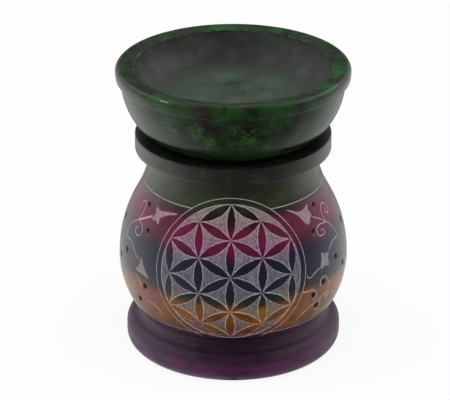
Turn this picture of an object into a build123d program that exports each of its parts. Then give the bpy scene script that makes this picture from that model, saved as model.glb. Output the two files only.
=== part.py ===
"""Essential oil burner: a pierced pot turned from soapstone, a loose bowl on its collar and a tealight inside.

Millimetres, +Z up. The origin is the middle of the foot's underside, on the surface that the burner stands on.
The carved front faces -Y, and the door for the tealight is in the back wall, towards +Y.
"""
from build123d import *
import math
import os

os.makedirs("parts", exist_ok=True)

# Foot: a straight belt over a rounded edge, then a double curve in to the cove
foot_radius = 38.2
foot_edge_radius = 4.0
foot_belt_height = 6.9
foot_ogee_rise = 6.6
cove_rise = 2.9
cove_undercut = 2.0

# Belly and neck, from the line round the belly's foot to the underside of the collar
belly_radius = 40.5
belly_line_inset = 5.2
belly_rise = 17.5
shoulder_rise = 40.4
neck_radius = 29.0

# Collar, whose flat top is the bowl's seat
collar_radius = 34.4
collar_thickness = 5.85
collar_edge = 0.4

# Hollow inside the pot
belly_wall = 9.0
sill_height = 2.6
floor_radius = 25.0
mouth_radius = 23.1
mouth_depth = 14.0

# Door in the back wall
door_width = 44.0
door_height = 30.0
door_edge = 0.6

# Pinholes through the belly
pinhole_radius = 0.95

# Bowl
bowl_height = 24.85
bowl_foot_radius = 27.5
bowl_turn_reach = 5.2
bowl_turn_rise = 3.45
spigot_length = 4.0
spigot_clearance = 0.3
spigot_wall = 5.0
spigot_edge = 0.6
bowl_floor_thickness = 7.0

# Bowl's rim and dish
rim_radius = 41.0
rim_height = 4.5
rim_drop = 1.8
rim_ledge_inset = 0.3
rim_ledge_width = 1.6
rim_top_inset = 1.35
rim_top_width = 5.25
rim_fall = 0.7
dish_floor_radius = 23.5
dish_depth = 11.4
dish_floor_rise = 0.9
dish_wall_bulge = 2.2

# Tealight
cup_radius = 18.4
cup_height = 15.0
cup_wall = 0.4
lip_radius = 0.45
flute_radius = 0.9
flute_depth = 0.4
flute_count = 48
wax_depth = 12.0
sustainer_radius = 6.5
sustainer_thickness = 0.3
sustainer_neck_wall = 0.35
sustainer_neck_height = 5.0
wick_radius = 0.75
wick_above_wax = 6.0

# One overrun for every cut that runs out into the open
overrun = 1.0

# Where the two arcs of a double curve meet, as a share of the line between its ends
foot_ogee_share = 0.58
neck_ogee_share = 0.54

# Pinholes: degrees round from the front, towards +X, and height as a share of the belly from its line to the collar
left_pinhole_shares = [
    (-61.1, 0.736), (-53.2, 0.608), (-85.1, 0.568), (-68.8, 0.427), (-77.5, 0.349), (-49.6, 0.273), (-55.8, 0.157),
]
right_pinhole_shares = [
    (57.9, 0.746), (49.4, 0.620), (82.2, 0.561), (63.7, 0.406), (72.6, 0.320), (51.3, 0.295), (44.0, 0.238), (47.7, 0.147),
]
rear_pinhole_shares = [
    (-118.9, 0.736), (-111.2, 0.427), (-102.5, 0.349), (-124.2, 0.157),
    (122.1, 0.746), (116.3, 0.406), (107.4, 0.320), (126.5, 0.152),
]

# Places worked out from the sizes above
base_radius = foot_radius - foot_edge_radius
belly_line_radius = belly_radius - belly_line_inset
cove_radius = belly_line_radius - cove_undercut
cove_height = foot_belt_height + foot_ogee_rise
belly_line_height = cove_height + cove_rise
belly_height = belly_line_height + belly_rise
collar_underside = belly_height + shoulder_rise
neck_height = collar_underside + collar_thickness / 2
seat_height = collar_underside + collar_thickness
floor_height = belly_line_height + sill_height
chamber_radius = belly_radius - belly_wall
throat_height = seat_height - mouth_depth
rim_top_height = seat_height + bowl_height
rim_ledge_radius = rim_radius - rim_ledge_inset
rim_top_radius = rim_radius - rim_top_inset
dish_mouth_radius = rim_top_radius - rim_top_width
bowl_side_radius = rim_ledge_radius - rim_ledge_width
bowl_turn_radius = bowl_foot_radius + bowl_turn_reach
ledge_height = rim_top_height - rim_height
dish_centre_height = rim_top_height - rim_fall - dish_depth
dish_edge_height = dish_centre_height + dish_floor_rise
spigot_radius = mouth_radius - spigot_clearance
spigot_end_height = seat_height - spigot_length
hollow_radius = spigot_radius - spigot_wall
hollow_height = dish_centre_height - bowl_floor_thickness


def between(start, end, share):
    """The point at a share of the straight line from start to end."""
    return tuple(a + (b - a) * share for a, b in zip(start, end))


# Pot: the stone's outside is one turned outline from the foot to the collar
foot_side = (foot_radius, foot_belt_height)
cove = (cove_radius, cove_height)
belly_line = (belly_line_radius, belly_line_height)
belly_widest = (belly_radius, belly_height)
neck_narrowest = (neck_radius, neck_height)
foot_ogee = between(foot_side, cove, foot_ogee_share)
neck_ogee = between(belly_widest, neck_narrowest, neck_ogee_share)

with BuildPart() as burner_body:
    with BuildSketch(Plane.XZ):
        with BuildLine():
            Line((0, 0), (base_radius, 0))
            TangentArc((foot_radius, foot_edge_radius), (base_radius, 0), tangent=(0, -1))
            Line((foot_radius, foot_edge_radius), foot_side)
            TangentArc(foot_side, foot_ogee, tangent=(0, 1))
            TangentArc(cove, foot_ogee, tangent=(0, -1))
            TangentArc(cove, belly_line, tangent=(0, 1))
            TangentArc(belly_widest, belly_line, tangent=(0, -1))
            TangentArc(belly_widest, neck_ogee, tangent=(0, 1))
            TangentArc(neck_narrowest, neck_ogee, tangent=(0, -1))
            Polyline(neck_narrowest, (0, neck_height), (0, 0))
        make_face()
    revolve(axis=Axis.Z)

    # Collar, with both its edges eased
    with BuildSketch(Plane.XY.offset(collar_underside)):
        Circle(collar_radius)
    extrude(amount=collar_thickness)
    collar_edges = burner_body.edges().filter_by(GeomType.CIRCLE).filter_by(lambda edge: edge.radius == collar_radius)
    fillet(collar_edges, radius=collar_edge)

    # Chamber, hollowed out through the mouth
    chamber_widest = (chamber_radius, belly_height)
    with BuildSketch(Plane.XZ):
        with BuildLine():
            Line((0, floor_height), (floor_radius, floor_height))
            TangentArc(chamber_widest, (floor_radius, floor_height), tangent=(0, -1))
            TangentArc(chamber_widest, (mouth_radius, throat_height), tangent=(0, 1))
            Polyline(
                (mouth_radius, throat_height),
                (mouth_radius, seat_height + overrun),
                (0, seat_height + overrun),
                (0, floor_height),
            )
        make_face()
    revolve(axis=Axis.Z, mode=Mode.SUBTRACT)

    # Door: straight jambs and a round arch, level with the chamber's floor, with its outer edge eased
    jamb = door_width / 2
    spring_height = floor_height + door_height - jamb
    with BuildSketch(Plane.XZ):
        with BuildLine():
            Polyline((-jamb, spring_height), (-jamb, floor_height), (jamb, floor_height), (jamb, spring_height))
            ThreePointArc((jamb, spring_height), (0, floor_height + door_height), (-jamb, spring_height))
        make_face()
    extrude(amount=-(belly_radius + overrun), mode=Mode.SUBTRACT)
    middle_of_wall = belly_radius - belly_wall / 2
    door_rim = burner_body.edges(Select.LAST).filter_by(GeomType.BSPLINE).filter_by(
        lambda edge: max(math.hypot(corner.X, corner.Y) for corner in edge.vertices()) > middle_of_wall
    )
    chamfer(door_rim, length=door_edge)

    # Pinholes, drilled square to the axis
    belly_span = collar_underside - belly_line_height
    for angle, height_share in left_pinhole_shares + right_pinhole_shares + rear_pinhole_shares:
        outward = Vector(math.sin(math.radians(angle)), -math.cos(math.radians(angle)), 0)
        start = outward * (belly_radius + overrun) + Vector(0, 0, belly_line_height + belly_span * height_share)
        with BuildSketch(Plane(origin=start, z_dir=outward)):
            Circle(pinhole_radius)
    extrude(amount=-(belly_radius + overrun - mouth_radius), mode=Mode.SUBTRACT)

burner_body.part.label = "burner_body"
export_step(burner_body.part, "parts/burner_body.step")

# Bowl: its foot stands on the collar, and its spigot keeps it in the middle of the mouth
bowl_turn = (bowl_turn_radius, seat_height + bowl_turn_rise)
rim_widest = (rim_radius, rim_top_height - rim_drop)
dish_edge = (dish_floor_radius, dish_edge_height)
dish_mouth = (dish_mouth_radius, rim_top_height - rim_fall)

with BuildPart() as oil_bowl:
    with BuildSketch(Plane.XZ):
        with BuildLine():
            side = TangentArc((bowl_side_radius, ledge_height), bowl_turn, tangent=(0, -1))
            TangentArc(bowl_turn, (bowl_foot_radius, seat_height), tangent=side % 1)
            Line((bowl_side_radius, ledge_height), (rim_ledge_radius, ledge_height))
            TangentArc(rim_widest, (rim_ledge_radius, ledge_height), tangent=(0, -1))
            TangentArc(rim_widest, (rim_top_radius, rim_top_height), tangent=(0, 1))
            Line((rim_top_radius, rim_top_height), dish_mouth)
            SagittaArc(dish_edge, dish_mouth, -dish_wall_bulge)
            TangentArc((0, dish_centre_height), dish_edge, tangent=(1, 0))
            Polyline(
                (0, dish_centre_height),
                (0, spigot_end_height),
                (spigot_radius - spigot_edge, spigot_end_height),
                (spigot_radius, spigot_end_height + spigot_edge),
                (spigot_radius, seat_height),
                (bowl_foot_radius, seat_height),
            )
        make_face()
    revolve(axis=Axis.Z)

    # Hollow under the dish, which lets the flame heat a thinner floor
    with BuildSketch(Plane.XZ):
        with BuildLine():
            Polyline((0, hollow_height), (0, spigot_end_height - overrun), (hollow_radius, spigot_end_height - overrun))
            Line((hollow_radius, spigot_end_height - overrun), (hollow_radius, seat_height))
            TangentArc((0, hollow_height), (hollow_radius, seat_height), tangent=(1, 0))
        make_face()
    revolve(axis=Axis.Z, mode=Mode.SUBTRACT)

oil_bowl.part.label = "oil_bowl"
export_step(oil_bowl.part, "parts/oil_bowl.step")

# Tealight: a fluted cup on the chamber's floor, with the wax, the wick and its plate inside
cup_floor = floor_height + cup_wall
cup_bore = cup_radius - flute_depth - cup_wall
wax_top = cup_floor + wax_depth
lip_height = floor_height + cup_height - lip_radius

with BuildPart() as tealight_cup:
    with BuildSketch(Plane.XY.offset(floor_height)):
        Circle(cup_radius)
        with PolarLocations(cup_radius - flute_depth + flute_radius, flute_count):
            Circle(flute_radius, mode=Mode.SUBTRACT)
    extrude(amount=cup_height - lip_radius)
    with BuildSketch(Plane.XZ):
        with Locations((cup_radius, lip_height)):
            Circle(lip_radius)
    revolve(axis=Axis.Z)
    with BuildSketch(Plane.XY.offset(cup_floor)):
        Circle(cup_bore)
    extrude(amount=cup_height, mode=Mode.SUBTRACT)

tealight_cup.part.label = "tealight_cup"
export_step(tealight_cup.part, "parts/tealight_cup.step")

# Sustainer: a flat plate with a neck crimped round the wick
neck_outer_radius = wick_radius + sustainer_neck_wall

with BuildPart() as wick_sustainer:
    with BuildSketch(Plane.XY.offset(cup_floor)):
        Circle(sustainer_radius)
    extrude(amount=sustainer_thickness)
    with BuildSketch(Plane.XY.offset(cup_floor)):
        Circle(neck_outer_radius)
    extrude(amount=sustainer_neck_height)
    with BuildSketch(Plane.XY.offset(cup_floor)):
        Circle(wick_radius)
    extrude(amount=sustainer_neck_height, mode=Mode.SUBTRACT)

wick_sustainer.part.label = "wick_sustainer"
export_step(wick_sustainer.part, "parts/wick_sustainer.step")

# Wax: cast round the plate, its neck and the wick
with BuildPart() as tealight_wax:
    with BuildSketch(Plane.XZ):
        with BuildLine():
            Polyline(
                (sustainer_radius, cup_floor),
                (cup_bore, cup_floor),
                (cup_bore, wax_top),
                (wick_radius, wax_top),
                (wick_radius, cup_floor + sustainer_neck_height),
                (neck_outer_radius, cup_floor + sustainer_neck_height),
                (neck_outer_radius, cup_floor + sustainer_thickness),
                (sustainer_radius, cup_floor + sustainer_thickness),
                close=True,
            )
        make_face()
    revolve(axis=Axis.Z)

tealight_wax.part.label = "tealight_wax"
export_step(tealight_wax.part, "parts/tealight_wax.step")

# Wick: a braided cotton cord, rounded at its free end
with BuildPart() as tealight_wick:
    with BuildSketch(Plane.XY.offset(cup_floor)):
        Circle(wick_radius)
    extrude(amount=wax_depth + wick_above_wax)
    fillet(tealight_wick.edges().sort_by(Axis.Z)[-1], radius=wick_radius / 2)

tealight_wick.part.label = "tealight_wick"
export_step(tealight_wick.part, "parts/tealight_wick.step")

print(f"Burner {rim_top_height:.1f} mm high, {2 * rim_radius:.1f} mm across the rim, {2 * belly_radius:.1f} mm across the belly")
print(f"Chamber {2 * chamber_radius:.1f} mm across, door {door_width:.1f} mm wide and {door_height:.1f} mm high")
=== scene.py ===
# %% [markdown]
# # A carved soapstone oil burner
#
# The real burner is two turned stones and a candle. The pot is turned from one block of soft grey soapstone, dyed
# in bands, polished, and then carved: where the knife takes the dyed skin away, the pale stone shows. A loose bowl
# stands on its collar, and a tealight stands inside. Each cell below makes one piece or one finish.

# %% Load the measured frame
import math
import random

import bmesh
import bpy
import numpy as np
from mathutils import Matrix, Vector
from mathutils.geometry import delaunay_2d_cdt
from mathutils.kdtree import KDTree


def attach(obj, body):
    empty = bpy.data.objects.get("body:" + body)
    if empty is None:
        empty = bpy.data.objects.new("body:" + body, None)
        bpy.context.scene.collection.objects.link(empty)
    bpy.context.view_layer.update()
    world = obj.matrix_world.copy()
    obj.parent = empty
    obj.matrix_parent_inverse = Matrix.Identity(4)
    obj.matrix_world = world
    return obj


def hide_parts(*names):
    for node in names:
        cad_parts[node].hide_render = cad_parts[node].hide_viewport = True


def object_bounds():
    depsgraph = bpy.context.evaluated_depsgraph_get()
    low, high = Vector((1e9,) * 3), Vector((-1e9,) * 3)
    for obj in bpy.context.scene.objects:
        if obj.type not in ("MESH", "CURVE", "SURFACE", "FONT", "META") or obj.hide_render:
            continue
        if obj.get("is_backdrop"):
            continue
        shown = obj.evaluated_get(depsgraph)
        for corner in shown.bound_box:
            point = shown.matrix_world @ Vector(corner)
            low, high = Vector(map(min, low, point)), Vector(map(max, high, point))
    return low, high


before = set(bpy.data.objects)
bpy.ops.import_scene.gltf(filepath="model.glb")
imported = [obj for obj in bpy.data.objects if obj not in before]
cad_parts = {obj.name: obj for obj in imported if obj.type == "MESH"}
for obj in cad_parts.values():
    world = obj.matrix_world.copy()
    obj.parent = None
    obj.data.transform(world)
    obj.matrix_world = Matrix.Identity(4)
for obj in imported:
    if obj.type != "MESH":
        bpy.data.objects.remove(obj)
cad_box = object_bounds()
mm = 0.001
print("nodes:", sorted(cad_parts))

# %% [markdown]
# ## The turner's outline
#
# A lathe gives every stone the same kind of shape: an outline spun about one upright axis. The burner's outline is
# arcs that run smoothly into each other and a few straight lines, so one helper walks along both. All sizes in this
# script are millimetres until a mesh is made.

# %% Arcs and straight lines of an outline
up, down, out, inwards = (0, 1), (0, -1), (1, 0), (-1, 0)


def arc(start, end, heading, step):
    """Points (radius, height) along the arc that leaves start in the heading and ends at end."""
    hx, hy = heading[0] / math.hypot(*heading), heading[1] / math.hypot(*heading)
    dx, dy = end[0] - start[0], end[1] - start[1]
    bend = (dx * dx + dy * dy) / (2 * (-hy * dx + hx * dy))
    cx, cy = start[0] - hy * bend, start[1] + hx * bend
    first = math.atan2(start[1] - cy, start[0] - cx)
    last = math.atan2(end[1] - cy, end[0] - cx)
    turn = (last - first + math.pi) % math.tau - math.pi
    count = max(2, math.ceil(abs(bend * turn) / step))
    spread = [first + turn * i / count for i in range(count + 1)]
    return [(cx + abs(bend) * math.cos(t), cy + abs(bend) * math.sin(t)) for t in spread]


def run(start, end, step):
    """Points along a straight line, both ends included."""
    count = max(1, math.ceil(math.dist(start, end) / step))
    dx, dy = end[0] - start[0], end[1] - start[1]
    return [(start[0] + dx * i / count, start[1] + dy * i / count) for i in range(count + 1)]


def walk(start, *moves):
    """An outline of moves, each from where the last one ended. (end, step) is a straight line. (end, step, heading)
    is an arc that leaves in the heading. With a True after it, the heading is how the arc would leave its end."""
    points, here = [], start
    for end, step, *bend in moves:
        if not bend:
            piece = run(here, end, step)
        elif bend[1:]:
            piece = arc(end, here, bend[0], step)[::-1]
        else:
            piece = arc(here, end, bend[0], step)
        points += piece[1:] if points else piece
        here = end
    return points


def lengths(points):
    """How far along the outline each of its points is."""
    return np.concatenate([[0], np.cumsum(np.hypot(*np.diff(points, axis=0).T))])


# %% The pot's outline, outside and in
foot_side, foot_ogee, cove = (38.2, 6.9), (35.36, 10.73), (33.3, 13.5)
belly_line, belly_widest = (35.3, 16.4), (40.5, 33.9)
neck_ogee, neck_narrowest = (34.29, 57.30), (29.0, 77.225)
collar_underside, collar_radius, seat_height = 74.3, 34.4, 80.15
chamber_widest, throat, floor_edge = (31.5, 33.9), (23.1, 66.15), (25.0, 19.0)

fine = walk(belly_line, (belly_widest, 0.02, down, True), (neck_ogee, 0.02, up), (neck_narrowest, 0.02, down, True))
fine = np.array([p for p in fine if p[1] < collar_underside + 0.01])
along = lengths(fine)


def belly_radius(z):
    """Radius of the pot's outside between the belly's lower line and the collar."""
    return np.interp(z, fine[:, 1], fine[:, 0])


def travel(z):
    """Length along the outline from the belly's lower line up to a height."""
    return np.interp(z, fine[:, 1], along)


def height(s):
    """Height that a length along the outline reaches."""
    return np.interp(s, along, fine[:, 1])


def on_belly(angle, z, depth=0.0):
    """Point of the belly at an angle (radians) from the front, in mm, sunk square to the surface by a depth."""
    z = np.asarray(z, float)
    lean = (belly_radius(z + 0.05) - belly_radius(z - 0.05)) / 0.1
    tilt = np.hypot(1, lean)
    r = belly_radius(z) - depth / tilt
    return np.stack([r * np.sin(angle), -r * np.cos(angle), z + depth * lean / tilt], axis=-1)


top_of_belly = float(along[-1])
print("outline from the belly line to the collar: %.1f mm long" % top_of_belly)

# %% [markdown]
# ## The flower pattern
#
# The medallion is the old compass pattern of overlapping circles. With the compass kept at one opening, every new
# circle is centred where earlier ones cross, so all the crossings lie on a lattice of equal triangles. Each pair of
# neighbours on that lattice carries one petal, the lens between two arcs. The carver drew it by hand on a round
# belly, so the crossings are not perfect, and they are written here one by one: degrees round from the front and
# height. The petals stay dyed and everything between them is scraped down to pale stone.

# %% Lattice of the medallion, and which crossings are neighbours
crossings = {
    "c": (-1.4, 42.0), "n": (-1.3, 54.3), "s": (-1.6, 29.2), "nw": (-18.1, 48.1), "ne": (15.4, 48.3),
    "sw": (-17.2, 35.6), "se": (14.2, 36.1), "nn": (-1.0, 65.6), "ss": (-1.5, 17.2), "w": (-33.5, 41.1),
    "e": (30.6, 41.2), "nnw": (-20.3, 59.4), "nne": (16.6, 59.8), "ssw": (-16.8, 23.7), "sse": (15.0, 23.5),
    "nww": (-35.8, 52.7), "nee": (32.8, 52.8), "sww": (-33.6, 29.3), "see": (29.9, 29.5),
}
petal_ends = [
    ("c", "n"), ("c", "s"), ("c", "nw"), ("c", "ne"), ("c", "sw"), ("c", "se"),
    ("n", "nw"), ("n", "ne"), ("nw", "sw"), ("ne", "se"), ("sw", "s"), ("se", "s"),
    ("n", "nn"), ("n", "nnw"), ("n", "nne"), ("nw", "nnw"), ("nw", "nww"), ("nw", "w"),
    ("sw", "w"), ("sw", "sww"), ("sw", "ssw"), ("s", "ssw"), ("s", "ss"), ("s", "sse"),
    ("se", "sse"), ("se", "see"), ("se", "e"), ("ne", "e"), ("ne", "nee"), ("ne", "nne"),
    ("nn", "nnw"), ("nnw", "nww"), ("nww", "w"), ("w", "sww"), ("sww", "ssw"), ("ssw", "ss"),
    ("ss", "sse"), ("sse", "see"), ("see", "e"), ("e", "nee"), ("nee", "nne"), ("nne", "nn"),
]
ring_inner, ring_outer = 25.3, 27.4
print(len(crossings), "crossings and", len(petal_ends), "petals")


# %% Flat paper of the belly: sideways millimetres and millimetres up the outline
def paper(angle_deg, z, middle=(0.0, 45.0)):
    """Unrolls a place on the belly next to a middle: (mm to the right, mm up the outline)."""
    r = (belly_radius(z) + belly_radius(middle[1])) / 2
    return np.array([math.radians(angle_deg - middle[0]) * r, float(travel(z) - travel(middle[1]))])


def unpaper(x, y, middle=(0.0, 45.0)):
    """The place (degrees, height) for a point of the paper."""
    z = float(height(travel(middle[1]) + y))
    r = (belly_radius(z) + belly_radius(middle[1])) / 2
    return middle[0] + math.degrees(x / r), z


# %% Petals and rings on the paper
def petal_arc(a, b, side, steps=12, slip=0.11):
    """One edge of the petal between crossings a and b: an arc of a sixth of a circle whose radius is the gap. The
    hand slips by up to slip mm between the ends."""
    pa, pb = crossings[a], crossings[b]
    flat = paper(*pb, middle=pa)
    gap = float(np.hypot(*flat))
    lengthways = flat / gap
    across = np.array([-lengthways[1], lengthways[0]]) * side
    places = []
    for i in range(steps + 1):
        t = i / steps - 0.5
        bulge = gap * (math.sqrt(1 - t * t) - math.sqrt(0.75)) + (hand.uniform(-slip, slip) if 0 < i < steps else 0)
        places.append(unpaper(*(lengthways * gap * (t + 0.5) + across * bulge), middle=pa))
    return places


def from_middle(angle, z):
    """Straight lines from the medallion's middle to places on the belly (radians, height)."""
    return on_belly(angle, z) - on_belly(math.radians(crossings["c"][0]), crossings["c"][1])


def compass_ring(radius, steps=156):
    """A circle that a compass set to the radius draws round the middle, open where it runs off the belly."""
    angle0, z0 = crossings["c"]
    places = []
    for i in range(steps + 1):
        way = math.tau * (i / steps - 0.25)
        low, high = 0.0, radius * 1.6
        for _ in range(40):
            reach = (low + high) / 2
            s = travel(z0) + reach * math.sin(way)
            z = float(height(s))
            a = math.radians(angle0) + reach * math.cos(way) / float(belly_radius(z0))
            if s > 0 and np.linalg.norm(from_middle(a, z)) < radius:
                low = reach
            else:
                high = reach
        if s > 0.35:
            places.append((math.degrees(a), z))
    return places


hand = random.Random(21)
petal_edges = [petal_arc(a, b, side) for a, b in petal_ends for side in (1, -1)]
rings = [compass_ring(ring_inner), compass_ring(ring_outer)]
print("rings span %.1f to %.1f degrees" % (min(p[0] for p in rings[1]), max(p[0] for p in rings[1])))

# %% [markdown]
# ## Vines beside the medallion
#
# On both sides of the medallion a thin vine curls from leaf to leaf between the pinholes. The stems are single
# strokes of the point of the knife, and the leaves are scraped flat like the ground of the medallion. Each stroke
# is a short list of places (degrees, height) that a smooth curve passes through.


# %% Strokes of the vines
def smooth(places, per_span=5):
    """A rounded line through given places."""
    p = np.array([places[0]] + list(places) + [places[-1]], float)
    line = []
    for a, b, c, d in zip(p, p[1:], p[2:], p[3:]):
        for t in np.arange(per_span) / per_span:
            bend, swing = 2 * a - 5 * b + 4 * c - d, 3 * b - a - 3 * c + d
            line.append(tuple(0.5 * (2 * b + (c - a) * t + bend * t**2 + swing * t**3)))
    return line + [tuple(p[-2])]


# %% Stems and leaves, as places (degrees, height)
left_stems = [
    [(-68.2, 55.6), (-68.8, 57.2), (-68.4, 58.5), (-66.4, 59.1), (-64.2, 58.7), (-63.1, 57.4), (-63.4, 55.6),
     (-64.6, 53.0)],
    [(-72.1, 45.3), (-72.9, 46.8), (-72.0, 49.2), (-68.7, 51.4), (-64.6, 53.0)],
    [(-64.6, 53.0), (-61.0, 52.7), (-58.5, 51.9), (-57.6, 50.5), (-58.5, 49.0), (-60.9, 48.4), (-63.4, 48.9),
     (-64.3, 50.0), (-63.2, 51.0), (-61.3, 50.3)],
    [(-74.6, 45.0), (-71.7, 45.1), (-67.8, 45.3), (-64.7, 44.9), (-62.0, 43.8), (-59.7, 42.6), (-57.5, 41.7),
     (-55.2, 41.0)],
    [(-57.8, 35.2), (-55.6, 34.7), (-53.2, 33.1), (-52.4, 31.0)],
    [(-49.4, 27.3), (-45.5, 26.6), (-42.3, 25.5), (-40.2, 24.1), (-39.0, 22.6)],
]
right_stems = [
    [(51.2, 56.8), (54.9, 55.9), (58.0, 54.7), (61.0, 53.4), (63.9, 52.2), (66.2, 50.4), (68.6, 48.1), (70.5, 45.4),
     (72.0, 42.0), (72.7, 38.4)],
    [(61.8, 53.0), (61.3, 55.2), (62.4, 57.2), (64.8, 58.3), (68.1, 58.1), (70.1, 56.7), (69.5, 55.3), (67.0, 54.8),
     (65.5, 55.7), (66.8, 56.8)],
    [(62.3, 52.7), (58.9, 53.2), (55.8, 53.4), (53.3, 53.0), (51.8, 52.2), (51.7, 51.2), (52.9, 50.1), (55.3, 49.8),
     (57.6, 50.1), (58.0, 50.9), (56.8, 51.5), (55.4, 51.3), (55.3, 50.6)],
    [(69.8, 45.8), (66.4, 46.0), (62.6, 45.7), (59.4, 44.8), (56.9, 43.4)],
    [(49.6, 39.5), (47.0, 39.3), (44.9, 38.7), (42.8, 37.8), (41.0, 37.5), (39.7, 38.2), (39.6, 39.2)],
    [(34.6, 21.7), (37.1, 23.2), (39.9, 24.5), (44.1, 26.3), (48.1, 27.5), (51.0, 28.3), (54.1, 29.3), (55.4, 30.7),
     (55.2, 32.4), (54.2, 34.1), (52.6, 35.4), (50.8, 35.7), (49.1, 35.3), (48.5, 34.3), (48.7, 33.0), (49.6, 31.8)],
    [(35.7, 33.0), (37.9, 32.8), (40.5, 32.6), (42.9, 32.6), (44.8, 31.7), (46.0, 30.3), (46.0, 29.1), (44.9, 28.4),
     (43.1, 28.3)],
    [(46.4, 23.7), (48.8, 23.1), (50.2, 23.4), (50.6, 24.5), (49.9, 25.7), (48.5, 26.6), (47.3, 26.8)],
    [(72.7, 38.4), (73.6, 36.9), (75.2, 34.6), (77.8, 32.4), (81.0, 31.4), (84.3, 31.9), (85.6, 33.6), (84.6, 35.2),
     (82.6, 35.0), (82.2, 33.8)],
]
leaves = [
    [(-54.6, 57.0), (-52.4, 56.3), (-52.0, 57.8), (-52.8, 59.9), (-50.2, 59.2), (-47.2, 59.2), (-43.0, 59.7),
     (-35.6, 60.1),
     (-41.8, 59.0), (-45.6, 57.9), (-47.3, 56.8), (-47.2, 55.0), (-49.2, 56.0), (-52.0, 55.7)],
    [(-53.6, 42.4), (-52.4, 41.1), (-50.8, 39.4), (-48.7, 37.5), (-46.7, 36.0), (-49.9, 36.6), (-53.6, 36.8),
     (-57.0, 37.0),
     (-55.0, 38.5), (-54.0, 40.2)],
    [(34.5, 61.6), (38.0, 60.9), (41.8, 59.9), (45.0, 59.7), (48.0, 60.0), (52.0, 60.9), (50.8, 59.4), (51.6, 58.3),
     (51.9, 57.2), (50.0, 56.7), (48.4, 55.4), (46.2, 55.2), (44.6, 56.5), (42.9, 58.2), (40.0, 59.7)],
    [(50.9, 44.6), (53.2, 43.6), (56.9, 43.3), (55.6, 41.7), (56.1, 38.9), (52.6, 39.5), (49.5, 39.0), (49.6, 40.6),
     (50.7, 42.2)],
    [(52.8, 29.3), (54.5, 29.7), (57.3, 28.4), (57.5, 27.1), (56.0, 26.3), (54.8, 25.6), (53.3, 27.7)],
]
thick_stem = [(-64.9, 53.1), (-61.0, 54.2), (-57.8, 55.3), (-54.4, 56.4)]


def to_the_back(lines):
    """The same lines mirrored from the front half of the belly to the back half."""
    return [[(-180.0 - a, z) for a, z in line] for line in lines]


clear_of_door = left_stems + right_stems[:5] + [right_stems[5][3:]]
stems = left_stems + right_stems + to_the_back(clear_of_door)
leaves += to_the_back(leaves[:4])
thick_stems = [thick_stem] + to_the_back([thick_stem])
print(len(stems), "stems and", len(leaves), "leaves")


# %% [markdown]
# ## How deep the knife goes
#
# Two kinds of cut make the whole carving. A stroke is a V-shaped groove: deepest on its middle line and nothing at
# its edges. A scraped ground is a flat floor just under the skin. A place on the belly is sunk by the deeper of the
# two, so where strokes cross or run into a scraped ground they join as real cuts do.

# %% Strokes with their widths, and the scraped grounds
neck_line_height, foot_line_height = 63.1, 18.5
door_half, door_ease, spring_height = 22.0, 0.6, 27.0
seam_angle = -264.0


def all_round(z, wobble, seed, keep):
    """A line cut as the pot turned slowly by hand, so it wavers a little, in the runs that keep(angle) leaves."""
    rng = random.Random(seed)
    waves = [(k, rng.uniform(-1, 1), rng.uniform(0, math.tau)) for k in (1, 2, 3, 5)]
    runs = [[]]
    for a in np.linspace(seam_angle, seam_angle + 360, 481):
        if keep(a):
            wave = sum(w * math.sin(k * math.radians(a) + p) / k for k, w, p in waves)
            runs[-1].append((float(a), z + wobble * wave))
        elif runs[-1]:
            runs.append([])
    return [line for line in runs if line]


def beside_medallion(angle):
    """True where the neck line is clear of the medallion's outer ring."""
    return np.linalg.norm(from_middle(math.radians(angle), neck_line_height)) > ring_outer - 0.1


def beside_door(angle):
    """True where the foot line is clear of the door's eased edge."""
    aside = abs(float(belly_radius(foot_line_height)) * math.sin(math.radians(angle)))
    return aside > door_half + door_ease + 0.4 or math.cos(math.radians(angle)) > 0


leaf_outlines = [smooth(leaf + leaf[:1], 3)[:-1] for leaf in leaves]
kinds_of_stroke = (  # lines, half their width, depth
    (petal_edges, 0.16, 0.17), (rings, 0.15, 0.18),
    (map(smooth, stems), 0.18, 0.16), (map(smooth, thick_stems), 0.36, 0.22),
    (all_round(neck_line_height, 0.12, 4, beside_medallion), 0.15, 0.18),
    (all_round(foot_line_height, 0.10, 9, beside_door), 0.14, 0.16),
    ([outline + outline[:1] for outline in leaf_outlines], 0.10, 0.14),
)
strokes = [(line, half, depth) for lines, half, depth in kinds_of_stroke for line in lines]
print(len(strokes), "strokes and", len(leaves), "leaves")


# %% A stroke's two edges, and how sharply it ends
fade_length, faintest, never_fades = 1.2, 0.15, 0.195
def stroke_lines(places, half, depth):
    """Left edge, middle and right edge of a stroke as (angle, length up the outline), with its half width and depth
    along it. A thin stroke fades out at its ends, as the knife leaves the stone."""
    a, z = np.array(places, float).T
    s = travel(z)
    r = belly_radius(height(s))
    is_loop = abs(a[0] - a[-1]) < 1e-9 and abs(s[0] - s[-1]) < 1e-9
    at_seam = [abs((end - seam_angle) % 360) < 1e-6 for end in (a[0], a[-1])]
    runs_round = abs(abs(a[-1] - a[0]) - 360) < 1e-6 or any(at_seam)
    if runs_round:
        nx, ns = np.zeros_like(a), np.ones_like(a)
    else:
        dx, ds = np.gradient(np.radians(a)) * r, np.gradient(s)
        if is_loop:
            for slope in (dx, ds):
                slope[0] = slope[-1] = (slope[0] + slope[-1]) / 2
        nx, ns = -ds / np.hypot(dx, ds), dx / np.hypot(dx, ds)
    gone = np.concatenate([[0], np.cumsum(np.hypot(np.diff(np.radians(a)) * r[1:], np.diff(s)))])
    fade = np.clip(np.minimum(gone, gone[-1] - gone) / fade_length, faintest, 1)
    if is_loop or runs_round or half > never_fades:
        fade = np.ones_like(a)
    w = half * fade
    edges = [np.stack([a + np.degrees(k * nx * w / r), s + k * ns * w], axis=1) for k in (-1, 0, 1)]
    return edges, w, depth * fade


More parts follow.
